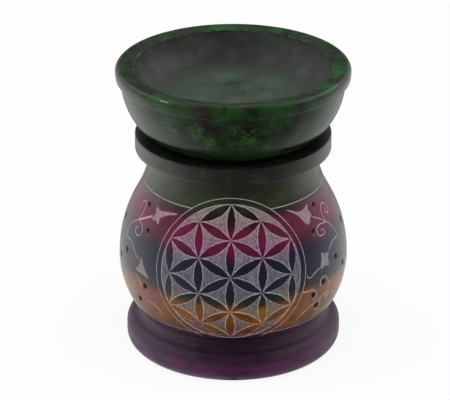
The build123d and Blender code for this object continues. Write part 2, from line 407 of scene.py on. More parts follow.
samples, paths = [], []
for places, half, depth in strokes:
    edges, w, d = stroke_lines(places, half, depth)
    paths += edges
    rows = np.column_stack([edges[1], w, d])
    for row, after in zip(rows, rows[1:]):
        samples += [row * (1 - t) + after * t for t in np.linspace(0, 1, 9)[:-1]]
    samples.append(rows[-1])
print(len(samples), "samples along the strokes")

# %% Depth of the carving at any place of the belly
around = 38.0


def spot(angle, s):
    """A place as a point for the search trees."""
    return Vector((math.radians(angle) * around, s, 0))


def search_tree(points):
    """A tree that finds the nearest of the points."""
    tree = KDTree(len(points))
    for i, point in enumerate(points):
        tree.insert(point, i)
    tree.balance()
    return tree


stroke_tree = search_tree([spot(a, s) for a, s, _, _ in samples])


def groove(angle, s):
    """Depth of the strokes at a place, and True if the place is inside one."""
    r = float(belly_radius(height(s)))
    deepest, inside = 0.0, False
    for _, i, _ in stroke_tree.find_range(spot(angle, s), 0.6):
        a, along_it, width, depth = samples[i]
        off = math.hypot(math.radians(angle - a) * r, s - along_it)
        if off < width:
            inside = inside or off < width * 0.999
            deepest = max(deepest, depth * (1 - off / width))
    return deepest, inside


# %% Scraped grounds, and the door's arch
def in_petal(angle, s):
    """True where arrays of places lie in one of the petals."""
    hit = np.zeros(len(angle), bool)
    for a, b in petal_ends:
        (a0, z0), (a1, z1) = crossings[a], crossings[b]
        gap_x, gap_y = paper(a1, z1, middle=(a0, z0))
        gap = math.hypot(gap_x, gap_y)
        px = np.radians(angle - a0) * (belly_radius(height(s)) + belly_radius(z0)) / 2
        py = s - travel(z0)
        t = (px * gap_x + py * gap_y) / gap**2 - 0.5
        off = np.abs(px * gap_y - py * gap_x) / gap
        bulge = gap * (np.sqrt(np.clip(1 - t * t, 0, 1)) - math.sqrt(0.75))
        hit |= (np.abs(t) < 0.5) & (off < bulge)
    return hit


def in_outline(angle, s, outline):
    """True where arrays of places lie in a closed outline of places."""
    a1, s1 = np.array([p[0] for p in outline]), travel(np.array([p[1] for p in outline]))
    inside = np.zeros(len(angle), bool)
    for p, q, u, v in zip(a1, s1, np.roll(a1, -1), np.roll(s1, -1)):
        if q != v:
            inside ^= ((q > s) != (v > s)) & (angle < (u - p) * (s - q) / (v - q) + p)
    return inside


def scraped(angle, s):
    """True where arrays of places lie in a scraped ground: between the petals, or in a leaf."""
    off = np.linalg.norm(from_middle(np.radians(angle), height(s)), axis=1)
    ground = (off < ring_inner) & ~in_petal(angle, s)
    for outline in leaf_outlines:
        ground |= in_outline(angle, s, outline)
    return ground


def through_door(x, y, z, ease=0.0):
    """True where arrays of places lie in the arch of the door, grown by its eased edge."""
    arch = np.where(z < spring_height, np.abs(x), np.hypot(x, z - spring_height)) < door_half + ease
    return (y > 0) & arch & (z > floor_edge[1] - ease)


# %% [markdown]
# ## Skin of the belly
#
# A carved line half a millimetre wide needs edges that run exactly along it, and a plain grid fine enough for that
# would be millions of faces. Instead the belly is unrolled flat, the edges and the middle of every stroke are laid
# on it, loose points fill the rest, and a constrained Delaunay triangulation joins them all. Rolled up again and
# sunk to the carving's depth, that is the skin. Faces inside the door's outline are left out.

# %% Points round the pot, and the door's outline
turns = 256
step_angles = [seam_angle + 360 * i / turns for i in range(turns + 1)]


def door_outline(grow=0.0):
    """The arch from its right foot over the crown to its left foot, as (x, z), grown outwards."""
    half = door_half + grow
    jamb = [(half, z) for z in np.linspace(floor_edge[1] - grow, spring_height, 8)]
    crown = [(half * math.cos(t), spring_height + half * math.sin(t)) for t in np.linspace(0, math.pi, 49)[1:-1]]
    return jamb + crown + [(-x, z) for x, z in jamb[::-1]]


def door_loop(grow):
    """The arch, and the sill under it from its left foot back to its right one."""
    half = door_half + grow
    return door_outline(grow) + [(x, floor_edge[1] - grow) for x in np.linspace(-half, half, 33)][1:-1]


def back_angle(x, r):
    """Degrees, counted on from the seam, of a place x to the right on the back of a wall of radius r."""
    return (-math.degrees(math.asin(x / r)) - 180 - seam_angle) % 360 + seam_angle


edge_loop = [(back_angle(x, float(belly_radius(z))), float(travel(z))) for x, z in door_loop(door_ease)]
print("door outline of", len(edge_loop), "points")


# %% Flat triangulation
def flat_skin(paths, loops, high, spacing, keep_clear, fill):
    """Triangulates the unrolled wall from length 0 to high. Gives its places (angle, length) and its triangles."""
    points, edges = [], []

    def chain(places, close=False):
        first = len(points)
        points.extend((math.radians(a) * around, s) for a, s in places)
        edges.extend((first + i, first + i + 1) for i in range(len(places) - 1))
        if close:
            edges.append((first + len(places) - 1, first))

    for s in (0.0, high):
        chain([(a, s) for a in step_angles])
    for a in (step_angles[0], step_angles[-1]):
        chain([(a, s) for s in np.linspace(0.0, high, round(high / spacing) + 1)])
    for path in paths:
        chain(path)
    for loop in loops:
        chain(loop, close=True)
    busy = search_tree([Vector((*q, 0)) for q in points])
    rng = random.Random(17)
    for a, s in fill:
        q = Vector((math.radians(a) * around + rng.uniform(-0.08, 0.08), s + rng.uniform(-0.08, 0.08), 0))
        if busy.find(q)[2] > keep_clear:
            points.append((q.x, q.y))
    verts, _, faces, _, _, _ = delaunay_2d_cdt([Vector(q) for q in points], edges, [], 0, 4e-3)
    places = np.array([(math.degrees(v.x / around), v.y) for v in verts])
    return places, np.array([f for f in faces if len(f) == 3])


def scatter(high, spacing, tighter=None):
    """Loose points in staggered rows, half as far apart where tighter(angle, length) says so."""
    places = []
    for scale in (1, 2) if tighter else (1,):
        gap = spacing / scale
        turn = math.degrees(gap / around)
        for j, s in enumerate(np.arange(gap * 0.8, high - gap * 0.6, gap * 0.87)):
            for k in range(int(math.tau * around / gap)):
                a = seam_angle + (k + 0.5 * (j % 2) + 0.25) * turn
                if a < seam_angle + 360 - turn * 0.5 and (not tighter or tighter(a, s) == (scale == 2)):
                    places.append((a, s))
    return places


belly_near_middle = 39.5


def near_medallion(a, s):
    """True over the medallion, where the knife left the most detail."""
    middle_angle, middle_height = crossings["c"]
    aside = math.radians(a - middle_angle) * belly_near_middle
    return math.hypot(aside, s - float(travel(middle_height))) < ring_outer + 1


skin_fill = scatter(top_of_belly, 1.6, near_medallion)
skin_places, skin_faces = flat_skin(paths, [edge_loop], top_of_belly, 1.4, 0.42, skin_fill)
print("belly skin:", len(skin_places), "places,", len(skin_faces), "triangles")

# %% Roll it up, and sink the carving
ground_depth, ground_unevenness = 0.15, 0.035
face_middles = skin_places[skin_faces].mean(axis=1)
mid_z = height(face_middles[:, 1])
mid_xyz = on_belly(np.radians(face_middles[:, 0]), mid_z)
kept = ~through_door(mid_xyz[:, 0], mid_xyz[:, 1], mid_z, door_ease)
skin_faces, face_middles = skin_faces[kept], face_middles[kept]
ground = scraped(*skin_places.T)
rng = random.Random(5)
sink = np.zeros(len(skin_places))
for i, place in enumerate(skin_places):
    stroke_depth, inside = groove(*place)
    if ground[i] and not inside:
        stroke_depth = max(stroke_depth, ground_depth + rng.uniform(-ground_unevenness, ground_unevenness))
    sink[i] = stroke_depth
skin_points = on_belly(np.radians(skin_places[:, 0]), height(skin_places[:, 1]), sink)

# What a face shows: 0 dyed skin, 0.5 the medallion's ground, 0.7 a leaf, 1 the inside of a stroke
pale = np.where(scraped(*face_middles.T), 0.5, 0.0)
for i, place in enumerate(face_middles):
    if near_medallion(*place) or pale[i] == 0:
        pale[i] = 1.0 if groove(*place)[1] else pale[i]
    else:
        pale[i] = 0.7
print("%d skin triangles, %d scraped and %d in strokes" % (len(skin_faces), (pale == 0.5).sum(), (pale == 1.0).sum()))
print("deepest cut %.2f mm" % sink.max())

# %% [markdown]
# ## Closing the pot
#
# The rest of the pot needs no carving, so it is spun in plain rows that start and end on the skin's own rows: the
# foot below, the collar above, and the mouth. The chamber's wall is unrolled and triangulated like the skin,
# because the door cuts through it too, and the door's tunnel joins the two walls with an eased outer edge. All
# patches share their rows, so merging the doubles gives one closed solid, which the drills of the next step need.


# %% A patch collector for the stone
stone = {"points": [], "faces": [], "pale": [], "bare": []}


def add_patch(points, faces, pale=0.0, bare=0.0):
    """Adds faces to the stone. pale marks carved faces, bare marks undyed ones: one value, or one for each face."""
    first = len(stone["points"])
    stone["points"].extend(map(tuple, points))
    stone["faces"].extend([first + i for i in f] for f in faces)
    for tag, value in (("pale", pale), ("bare", bare)):
        stone[tag].extend(value if hasattr(value, "__len__") else [value] * len(faces))


def spin(outline):
    """Rows round the axis from an outline of (radius, height) that runs from outside down or in. Poles close."""
    points, faces, rows = [], [], []
    for r, z in outline:
        if r < 1e-6:
            rows.append([len(points)] * turns)
            points.append((0, 0, z))
        else:
            rows.append(list(range(len(points), len(points) + turns)))
            points += [(r * math.sin(math.radians(a)), -r * math.cos(math.radians(a)), z) for a in step_angles[:-1]]
    for upper, lower in zip(rows, rows[1:]):
        for i in range(turns):
            j = (i + 1) % turns
            face = [upper[i], lower[i], lower[j], upper[j]]
            faces.append([v for k, v in enumerate(face) if v != face[k - 1]])
    return points, faces


def ridged(outline, seed, depth=0.012):
    """The same outline with the faint ridges that the turner's tool leaves. Its ends stay."""
    rng = random.Random(seed)
    middle = [(r + rng.uniform(-depth, depth), z) if r > 1 else (r, z) for r, z in outline[1:-1]]
    return outline[:1] + middle + outline[-1:]


# %% Foot, collar and mouth
foot_outline = walk(
    belly_line, (cove, 0.5, up, True), (foot_ogee, 0.6, down), (foot_side, 0.7, up, True), ((38.2, 4.0), 0.7),
    ((34.2, 0.0), 0.6, down), ((0.0, 0.0), 3.4))
collar_outline = walk(
    tuple(map(float, fine[-1])), ((34.0, collar_underside), 1.0), ((collar_radius, 74.7), 0.2, out),
    ((collar_radius, 79.75), 1.0), ((34.0, seat_height), 0.2, up), ((23.4, seat_height), 1.5),
    ((23.1, 79.85), 0.15, inwards), (throat, 1.5))
mouth_start = [i for i, (r, z) in enumerate(collar_outline) if r < 23.2][0]

add_patch(skin_points, skin_faces, pale)
points, faces = spin(ridged(foot_outline, 3))
add_patch(points, faces, bare=[float(i >= len(faces) - 10 * turns) for i in range(len(faces))])
points, faces = spin(ridged(collar_outline, 8))
add_patch(points, [f[::-1] for f in faces], bare=[float(i >= (mouth_start - 1) * turns) for i in range(len(faces))])
print("foot, collar and mouth:", len(stone["faces"]) - len(skin_faces), "faces")

# %% Chamber wall
wall = np.array(walk(floor_edge, (chamber_widest, 0.05, down, True), (throat, 0.05, up)))
wall_along = lengths(wall)


def on_chamber(angle, v):
    """Point of the chamber's wall at an angle (radians) and a length up its outline."""
    r, z = np.interp(v, wall_along, wall[:, 0]), np.interp(v, wall_along, wall[:, 1])
    return np.stack([r * np.sin(angle), -r * np.cos(angle), z], axis=-1)


wall_loop = []
for x, z in door_outline():
    r, v = np.interp(z, wall[:, 1], wall[:, 0]), np.interp(z, wall[:, 1], wall_along)
    wall_loop.append((back_angle(x, float(r)), float(v)))
wall_high = float(wall_along[-1])
wall_places, wall_faces = flat_skin([wall_loop], [], wall_high, 2.4, 0.9, scatter(wall_high, 2.6))
wall_points = on_chamber(np.radians(wall_places[:, 0]), wall_places[:, 1])
wall_faces = wall_faces[~through_door(*wall_points[wall_faces].mean(axis=1).T)]
add_patch(wall_points, [f[::-1] for f in wall_faces], bare=1.0)
print("chamber wall:", len(wall_faces), "triangles")


# %% Door tunnel with an eased edge
def in_wall(places, sunk):
    """Door places (x, z) on the belly, sunk towards the axis."""
    return [(x, math.sqrt((float(belly_radius(z)) - sunk) ** 2 - x * x), z) for x, z in places]


def add_strips(rows, bare, close=False):
    """Adds the faces between each row of points and the next."""
    n = len(rows[0])
    for near, far in zip(rows, rows[1:]):
        faces = [[i, (i + 1) % n, n + (i + 1) % n, n + i] for i in range(n if close else n - 1)]
        add_patch([*near, *far], faces, bare=bare)


eased = [(door_ease, 0.0), (0.18, 0.18), (0.0, door_ease)]
rims = [in_wall(door_loop(grow), sunk) for grow, sunk in eased]
add_strips(rims, 0.6, close=True)
arch_count = len(door_outline())
outer_arch = np.array(rims[-1][:arch_count])
inner_arch = on_chamber(np.radians([a for a, _ in wall_loop]), np.array([v for _, v in wall_loop]))
tunnel_rows = [outer_arch * (1 - t) + inner_arch * t for t in np.linspace(0, 1, 9)]
add_strips(tunnel_rows, 1.0)
print("door tunnel:", len(tunnel_rows) - 1, "rows deep")

# %% Floor of the chamber and of the tunnel
floor_rim = [q for q in wall_points[wall_places[:, 1] < 1e-6] if q[1] < inner_arch[0][1] + 1e-6]
floor_rim = {(round(float(x), 6), round(float(y), 6)) for x, y, _ in floor_rim}
floor_rim = sorted(floor_rim, key=lambda q: math.atan2(q[0], -q[1]))
right_side, left_side = ([(float(row[k][0]), float(row[k][1])) for row in tunnel_rows] for k in (0, -1))
sill = [(x, y) for x, y, _ in rims[-1][arch_count - 1:]] + [rims[-1][0][:2]]
floor_loop = floor_rim + right_side[::-1][1:] + sill[::-1][1:] + left_side[1:-1]
points = [Vector(q) for q in floor_loop]
gap, round_floor, door_floor, sill_reach = 3.0, 23.8, 20.8, 34.6
for r in np.arange(gap, 36.0, gap):
    for k in range(int(math.tau * r / gap)):
        x, y = r * math.cos(k * gap / r), r * math.sin(k * gap / r)
        if math.hypot(x, y) < round_floor or (abs(x) < door_floor and 0 < y and math.hypot(x, y) < sill_reach):
            points.append(Vector((x, y)))
edges = [(i, (i + 1) % len(floor_loop)) for i in range(len(floor_loop))]
floor_places, _, floor_faces, _, _, _ = delaunay_2d_cdt(points, edges, [], 1, 1e-5)
add_patch([(q.x, q.y, floor_edge[1]) for q in floor_places], floor_faces, bare=1.0)
print("floor:", len(floor_faces), "triangles in a loop of", len(floor_loop))

# %% Weld the patches into one solid
def closed(mesh, merge=None):
    """Merges points nearer than merge mm, or else only drops slivers, and turns the faces outwards."""
    work = bmesh.new()
    work.from_mesh(mesh)
    if merge:
        bmesh.ops.remove_doubles(work, verts=work.verts, dist=merge * mm)
    else:
        bmesh.ops.dissolve_degenerate(work, edges=work.edges, dist=1e-7)
    bmesh.ops.recalc_face_normals(work, faces=work.faces)
    gaps = sum(len(e.link_faces) != 2 for e in work.edges)
    print("%s: %.0f mm3, %d open edges" % (mesh.name, work.calc_volume(signed=True) / mm**3, gaps))
    work.to_mesh(mesh)
    work.free()


pot_blank = bpy.data.meshes.new("pot_blank")
pot_blank.from_pydata([(x * mm, y * mm, z * mm) for x, y, z in stone["points"]], [], stone["faces"])
for tag in ("pale", "bare"):
    pot_blank.attributes.new(tag, "FLOAT", "FACE").data.foreach_set("value", stone[tag])
closed(pot_blank, merge=1e-3)

# %% [markdown]
# ## Pinholes
#
# Air holes are drilled through the belly between the leaves. Drilling is the same cut again and again, so Geometry
# Nodes do it: every point of a small cloud of points gets one drill, turned outwards, and a mesh boolean takes all
# the drills out of the stone at once. A drill is a little wider where it breaks the polished skin, as a worn hole
# is. The tree's inputs are the drill's radius, its length and how much its mouth is eased.

# %% Helpers for node trees
def fill(made, links):
    """Links or sets the inputs of a node by name or number. A list goes into one input that takes several links."""
    for key, value in links.items():
        for one in value if isinstance(value, list) else [value]:
            if isinstance(one, Value):
                made.id_data.links.new(one.source.outputs[one.key], made.inputs[key])
            else:
                made.inputs[key].default_value = one


def node(tree, kind, links=None, **settings):
    """Adds a node, sets its properties and fills its inputs. Gives its first output; [name] gives another."""
    made = tree.nodes.new(kind)
    for key, value in settings.items():
        setattr(made, key, value)
    fill(made, links or {})
    return Value(made)


class Value:
    """What comes out of a node. + - * between values, or a value and a number, are Math nodes."""

    def __init__(self, made, key=0):
        self.source, self.key, self.tree = made, key, made.id_data

    def __getitem__(self, key):
        return type(self)(self.source, key)

    def then(self, kind, links, **settings):
        """Adds a node to the same tree."""
        return type(self)(node(self.tree, kind, links, **settings).source)

    def math(self, operation, *others):
        return self.then("ShaderNodeMath", dict(enumerate((self, *others))), operation=operation)

    def __add__(self, other):
        return self.math("ADD", other)

    def __sub__(self, other):
        return self.math("SUBTRACT", other)

    def __mul__(self, other):
        return self.math("MULTIPLY", other)

    def scaled(self, factor, offset):
        """The value times a factor, plus an offset."""
        return self.math("MULTIPLY_ADD", factor, offset)

    def between(self, low, high, out_low=0.0, out_high=1.0):
        """Maps a range smoothly onto another range, held at its ends."""
        ranges = {"Value": self, "From Min": low, "From Max": high, "To Min": out_low, "To Max": out_high}
        return self.then("ShaderNodeMapRange", ranges, interpolation_type="SMOOTHSTEP")

    def parts(self):
        """The X, Y and Z of a place."""
        xyz = self.then("ShaderNodeSeparateXYZ", {0: self})
        return xyz["X"], xyz["Y"], xyz["Z"]


# %% Helpers that make a tree and run it
def tree_with(name, inputs):
    """A Geometry Nodes tree with named inputs besides its geometry. Gives the tree and its inputs by name."""
    kinds = {type(None): "NodeSocketObject", int: "NodeSocketInt", float: "NodeSocketFloat"}
    tree = bpy.data.node_groups.new(name, "GeometryNodeTree")
    tree.interface.new_socket("Geometry", in_out="INPUT", socket_type="NodeSocketGeometry")
    for label, value in inputs.items():
        socket = tree.interface.new_socket(label, in_out="INPUT", socket_type=kinds[type(value)])
        socket.default_value = value
    tree.interface.new_socket("Geometry", in_out="OUTPUT", socket_type="NodeSocketGeometry")
    return tree, node(tree, "NodeGroupInput")


def ended(geometry, finish):
    """Ends a tree: makes instances real, sets the finish and hands the geometry out. Gives the tree."""
    real = node(geometry.tree, "GeometryNodeRealizeInstances", {"Geometry": geometry})
    done = node(geometry.tree, "GeometryNodeSetMaterial", {"Geometry": real, "Material": finish})
    return node(geometry.tree, "NodeGroupOutput", {"Geometry": done}).tree


def shown(name, data):
    """Links a mesh, a lamp or a camera into the scene as an object at the origin."""
    made = bpy.data.objects.new(name, data)
    bpy.context.scene.collection.objects.link(made)
    return made


def settle(obj, tree, values, name):
    """Runs a tree on an object with its inputs set by identifier, and keeps the result as a plain mesh object."""
    mod = obj.modifiers.new(tree.name, "NODES")
    mod.node_group = tree
    for item in tree.interface.items_tree:
        if item.item_type == "SOCKET" and item.in_out == "INPUT" and item.name in values:
            mod[item.identifier] = values[item.name]
    obj.update_tag()
    graph = bpy.context.evaluated_depsgraph_get()
    mesh = bpy.data.meshes.new_from_object(obj.evaluated_get(graph), preserve_all_data_layers=True, depsgraph=graph)
    bpy.data.objects.remove(obj)
    print(name, "settled with", len(mesh.polygons), "faces")
    return shown(name, mesh)


# %% Where the pinholes are: degrees round from the front, and height
front_pinholes = [
    (-61.1, 59.0), (-53.2, 51.6), (-85.1, 49.3), (-68.8, 41.1), (-77.5, 36.6), (-49.6, 32.2), (-55.8, 25.5),
    (57.9, 59.6), (49.4, 52.3), (82.2, 48.9), (63.7, 39.9), (72.6, 34.9), (51.3, 33.5), (44.0, 30.2), (47.7, 24.9),
]
rear_pinholes = [
    (-118.9, 59.0), (-111.2, 41.1), (-102.5, 36.6), (-124.2, 25.5),
    (122.1, 59.6), (116.3, 39.9), (107.4, 34.9), (126.5, 25.2),
]
pinhole_radius = 0.95


def drill_points(holes):
    """One vertex on the belly for every hole, with the way out of the stone stored on it."""
    mesh = bpy.data.meshes.new("drill_points")
    spots = [on_belly(math.radians(a), z) for a, z in holes]
    mesh.from_pydata([tuple(float(c) * mm for c in q) for q in spots], [], [])
    outward = mesh.attributes.new("outward", "FLOAT_VECTOR", "POINT")
    for i, (a, _) in enumerate(holes):
        outward.data[i].vector = (math.sin(math.radians(a)), -math.cos(math.radians(a)), 0)
    return shown("drill_points", mesh)


# %% The drilling tree
def drilling_tree(finish):
    """A tree that drills the stone it is given at every vertex of another object."""
    tree, given = tree_with("drill pinholes", {
        "Drill points": None, "Radius": 0.001, "Length": 0.03, "Eased mouth": 0.0002})
    radius, length, eased = given["Radius"], given["Length"], given["Eased mouth"]

    def raised(mesh, rise):
        way = node(tree, "ShaderNodeCombineXYZ", {"Z": rise})
        return node(tree, "GeometryNodeTransform", {"Geometry": mesh, "Translation": way})

    points = node(tree, "GeometryNodeObjectInfo", {"Object": given["Drill points"]}, transform_space="ORIGINAL")
    outward = node(tree, "GeometryNodeInputNamedAttribute", {"Name": "outward"}, data_type="FLOAT_VECTOR")
    turn = node(tree, "FunctionNodeAlignRotationToVector", {"Vector": outward["Attribute"]}, axis="Z")
    shank = node(tree, "GeometryNodeMeshCylinder", {"Vertices": 20, "Radius": radius, "Depth": length})
    mouth = node(tree, "GeometryNodeMeshCone", {
        "Vertices": 20, "Radius Top": eased.scaled(5.0, radius), "Radius Bottom": radius, "Depth": eased * 5.0})
    both = [raised(shank, length * -0.48), raised(mouth, eased * -1.0)]
    bit = node(tree, "GeometryNodeMeshBoolean", {"Mesh 2": both}, operation="UNION", solver="MANIFOLD")
    drills = node(tree, "GeometryNodeInstanceOnPoints", {
        "Points": points["Geometry"], "Instance": bit, "Rotation": turn})
    real = node(tree, "GeometryNodeRealizeInstances", {"Geometry": drills})
    tagged = node(tree, "GeometryNodeStoreNamedAttribute", {"Geometry": real, "Name": "bare", "Value": 2.0},
                  data_type="FLOAT", domain="FACE")
    cut = node(tree, "GeometryNodeMeshBoolean", {"Mesh 1": given["Geometry"], "Mesh 2": tagged},
               operation="DIFFERENCE", solver="MANIFOLD")
    return ended(cut, finish)


body_stone = bpy.data.materials.new("dyed and carved soapstone")
drills = drill_points(front_pinholes + rear_pinholes)
pot = settle(shown("pot_blank", pot_blank), drilling_tree(body_stone), {
    "Drill points": drills, "Radius": pinhole_radius * mm, "Length": 24 * mm, "Eased mouth": 0.28 * mm}, "carved_pot")
bpy.data.objects.remove(drills)

# %% [markdown]
# ## The lathe
#
# The bowl, the candle's cup and the wax are all turned, cast or pressed round one axis, so one Geometry Nodes tree
# makes all three from a drawn outline. A grid gets one column for every step round the axis and one row for every
# point of the outline, each grid point looks its outline point up and is swung round the axis, and merging by
# distance closes the seam and the poles. Named inputs add what the tool leaves: faint ridges, one for every row,
# and pressed flutes between two heights.


# %% The lathe as a node tree
def lathe_tree(finish, seed):
    """A tree that spins an outline object (radius along X, height along Z) into a closed solid."""
    tree, given = tree_with("lathe " + finish.name, {
        "Steps round": 256, "Ridge depth": 0.0, "Flutes": 0, "Flute depth": 0.0, "Flutes from": 0.0,
        "Flutes to": 0.0, "Plain inside radius": 0.0, "Plain inside up to": 1.0})
    outline, steps, low, high = (given[key] for key in ("Geometry", "Steps round", "Flutes from", "Flutes to"))
    rows = node(tree, "GeometryNodeAttributeDomainSize", {"Geometry": outline}, component="MESH")["Point Count"]
    grid = node(tree, "GeometryNodeMeshGrid", {"Vertices X": steps + 1.0, "Vertices Y": rows})
    index = node(tree, "GeometryNodeInputIndex")
    column = (index + 0.5).math("DIVIDE", rows).math("FLOOR")
    row = index - column * rows
    drawn = node(tree, "GeometryNodeSampleIndex", {
        "Geometry": outline, "Value": node(tree, "GeometryNodeInputPosition"), "Index": row},
        data_type="FLOAT_VECTOR", domain="POINT")
    radius, _, level = drawn.parts()
    chatter = node(tree, "FunctionNodeRandomValue", {
        "Min": -1.0, "Max": 1.0, "ID": row, "Seed": seed}, data_type="FLOAT")
    ridge = chatter[1] * given["Ridge depth"] * radius.math("GREATER_THAN", 0.0002)
    angle = column.math("DIVIDE", steps) * math.tau
    dip = (angle * given["Flutes"]).math("COSINE").scaled(-0.5, 0.5) * given["Flute depth"]
    fluting = dip * level.between(low, low + 0.0006) * level.between(high - 0.0010, high, 1.0, 0.0)
    over_plain = level.math("GREATER_THAN", given["Plain inside up to"])
    outside = radius.math("GREATER_THAN", given["Plain inside radius"]).math("MAXIMUM", over_plain)
    reach = radius + ridge - fluting * outside
    x, y = reach * angle.math("SINE"), reach * (angle.math("COSINE") * -1.0)
    place = node(tree, "ShaderNodeCombineXYZ", {"X": x, "Y": y, "Z": level})
    turned = node(tree, "GeometryNodeSetPosition", {"Geometry": grid, "Position": place})
    return ended(node(tree, "GeometryNodeMergeByDistance", {"Geometry": turned, "Distance": 0.000002}), finish)


# %% From an outline to a smooth piece
def drawn_outline(name, places):
    """An outline of (radius, height) in mm as a mesh of loose points, in metres."""
    mesh = bpy.data.meshes.new(name)
    mesh.from_pydata([(r * mm, 0, z * mm) for r, z in places], [], [])
    return shown(name, mesh)


def smoothed(obj, degrees):
    """Smooth shading with edges kept sharp above an angle."""
    obj.data.shade_smooth()
    obj.data.set_sharp_from_angle(angle=math.radians(degrees))
    return obj


def spun(name, places, finish, seed, keep_sharp, **inputs):
    """Spins an outline with the lathe tree, turns its faces outwards and smooths it below an angle."""
    values = {key.replace("_", " ").capitalize(): value for key, value in inputs.items()}
    made = settle(drawn_outline(name + "_outline", places), lathe_tree(finish, seed), values, name)
    closed(made.data)
    return smoothed(made, keep_sharp)


# %% [markdown]
# ## Oil bowl
#
# The second stone is an open dish with a thick rolled rim, a plain side that flares from its foot, and a short
# spigot under the foot that keeps it centred in the pot's mouth. Underneath it is hollowed, so that the flame heats
# a thinner floor. The outline runs from the middle of the dish over the rim, down the side and back in below.

# %% Turn the bowl
dish_middle, dish_edge, dish_mouth = (0.0, 92.9), (23.5, 93.8), (34.4, 104.3)
rim_top, rim_widest = (39.1, 104.98), (40.96, 103.2)
side_top, side_turn, bowl_foot = (39.1, 100.5), (32.7, 83.6), (27.5, seat_height)
spigot, spigot_end, hollow = 22.8, 76.15, 17.8


def sag_heading(start, end, sag):
    """The heading in which an arc leaves start so that its middle stands off the straight line by sag."""
    dx, dy = end[0] - start[0], end[1] - start[1]
    half = math.hypot(dx, dy) / 2
    lean = math.atan2(sag, half) * 2
    ux, uy = dx / (2 * half), dy / (2 * half)
    return ux * math.cos(-lean) - uy * math.sin(-lean), ux * math.sin(-lean) + uy * math.cos(-lean)


side_end = arc(side_top, side_turn, down, 0.9)[-2:]
side_heading = side_end[1][0] - side_end[0][0], side_end[1][1] - side_end[0][1]
bowl_outline = walk(
    dish_middle, (dish_edge, 0.8, out), (dish_mouth, 0.7, sag_heading(dish_edge, dish_mouth, 2.2)),
    ((35.1, 104.52), 0.2, (0.35, 0.94)), (rim_top, 0.7), (rim_widest, 0.35, out), ((40.75, 100.9), 0.4, down),
    ((40.3, 100.5), 0.15, (-0.15, -1)), (side_top, 0.5), (side_turn, 0.9, down), (bowl_foot, 0.7, side_heading),
    ((spigot, seat_height), 1.2), ((spigot, 76.75), 1.0), ((22.2, spigot_end), 0.4), ((hollow, spigot_end), 1.2),
    ((hollow, seat_height), 1.0), ((0.0, 85.9), 1.6, out, True))
bowl_stone = bpy.data.materials.new("mottled green soapstone")
bowl = spun("turned_bowl", bowl_outline, bowl_stone, 7, 30, steps_round=256, ridge_depth=0.010 * mm)
smoothed(pot, 24)

# %% [markdown]
# ## Tealight
#
# A tealight is a thin pressed cup full of wax. Its side is fluted so that the thin metal stands stiff, and its lip is
# rolled so that it doesn't cut. The wick stands in a small plate with a crimped neck, and the wax creeps up a little
# where it meets the cup. The lathe tree makes these three from their outlines; the flutes are its own inputs.

# %% Cup, wax and wick plate
cup_outer, cup_bore, cup_floor, lip_height, lip_size = 18.4, 17.6, 19.4, 33.55, 0.45
wax_radius, wax_top, wax_bottom, plate_room, neck_room, wick_hole = 17.57, 31.38, 19.42, 6.55, 1.13, 0.78
plate_radius, plate_bottom, neck_top, neck_outer, neck_inner = 6.48, 19.41, 24.38, 1.08, 0.77
cup_inside = walk(
    (0, cup_floor), ((17.1, cup_floor), 2.0), ((cup_bore, 19.9), 0.2, out), ((cup_bore, 33.1), 0.6),
    ((17.95, lip_height), 0.12, up))
rolled_lip = [(cup_outer + lip_size * math.cos(t), lip_height + lip_size * math.sin(t))
              for t in np.linspace(math.pi, -math.pi / 2, 14)]
cup_outside = walk(
    (cup_outer, lip_height - lip_size), ((cup_outer, 19.7), 0.5), ((17.7, 19.0), 0.2, down), ((15.4, 19.0), 0.8),
    ((15.0, 19.15), 0.1, inwards), ((0, 19.15), 2.0))
wax_outline = walk(
    (wick_hole, 31.3), ((2.4, 31.0), 0.2, (1, -0.9)), ((15.6, 31.0), 1.1),
    ((wax_radius, wax_top), 0.2, (-0.35, -1), True), ((wax_radius, 20.0), 1.2),
    ((17.05, wax_bottom), 0.2, down), ((plate_room, wax_bottom), 1.8),
    ((plate_room, 19.72), 0.3), ((neck_room, 19.72), 1.4), ((neck_room, 24.42), 1.0), ((wick_hole, 24.42), 0.4),
    ((wick_hole, 31.3), 1.0))
plate_outline = walk(
    (neck_inner, neck_top), ((neck_outer, neck_top), 0.4), ((neck_outer, 20.0), 0.25), ((1.36, 19.70), 0.1, down),
    ((5.2, 19.70), 1.0), ((5.6, 19.56), 0.2), ((plate_radius, 19.56), 0.4), ((plate_radius, plate_bottom), 0.2),
    ((neck_inner, plate_bottom), 1.2), ((neck_inner, neck_top), 0.5))
cup_foil, candle_wax, tinned_plate = map(bpy.data.materials.new, ("pressed foil", "candle wax", "tinned wick plate"))
cup = spun("pressed_cup", cup_inside + rolled_lip[1:] + cup_outside[1:], cup_foil, 2, 50, steps_round=384, flutes=48,
           flute_depth=0.4 * mm, flutes_from=20.2 * mm, flutes_to=33.0 * mm, plain_inside_radius=18.0 * mm,
           plain_inside_up_to=31.6 * mm)
wax = spun("wax_cake", wax_outline, candle_wax, 3, 40, steps_round=128)
plate = spun("wick_plate", plate_outline, tinned_plate, 4, 40, steps_round=48, flutes=4, flute_depth=0.14 * mm,
             flutes_from=20.9 * mm, flutes_to=24.0 * mm, plain_inside_radius=0.9 * mm)
print("cup, wax and plate turned")
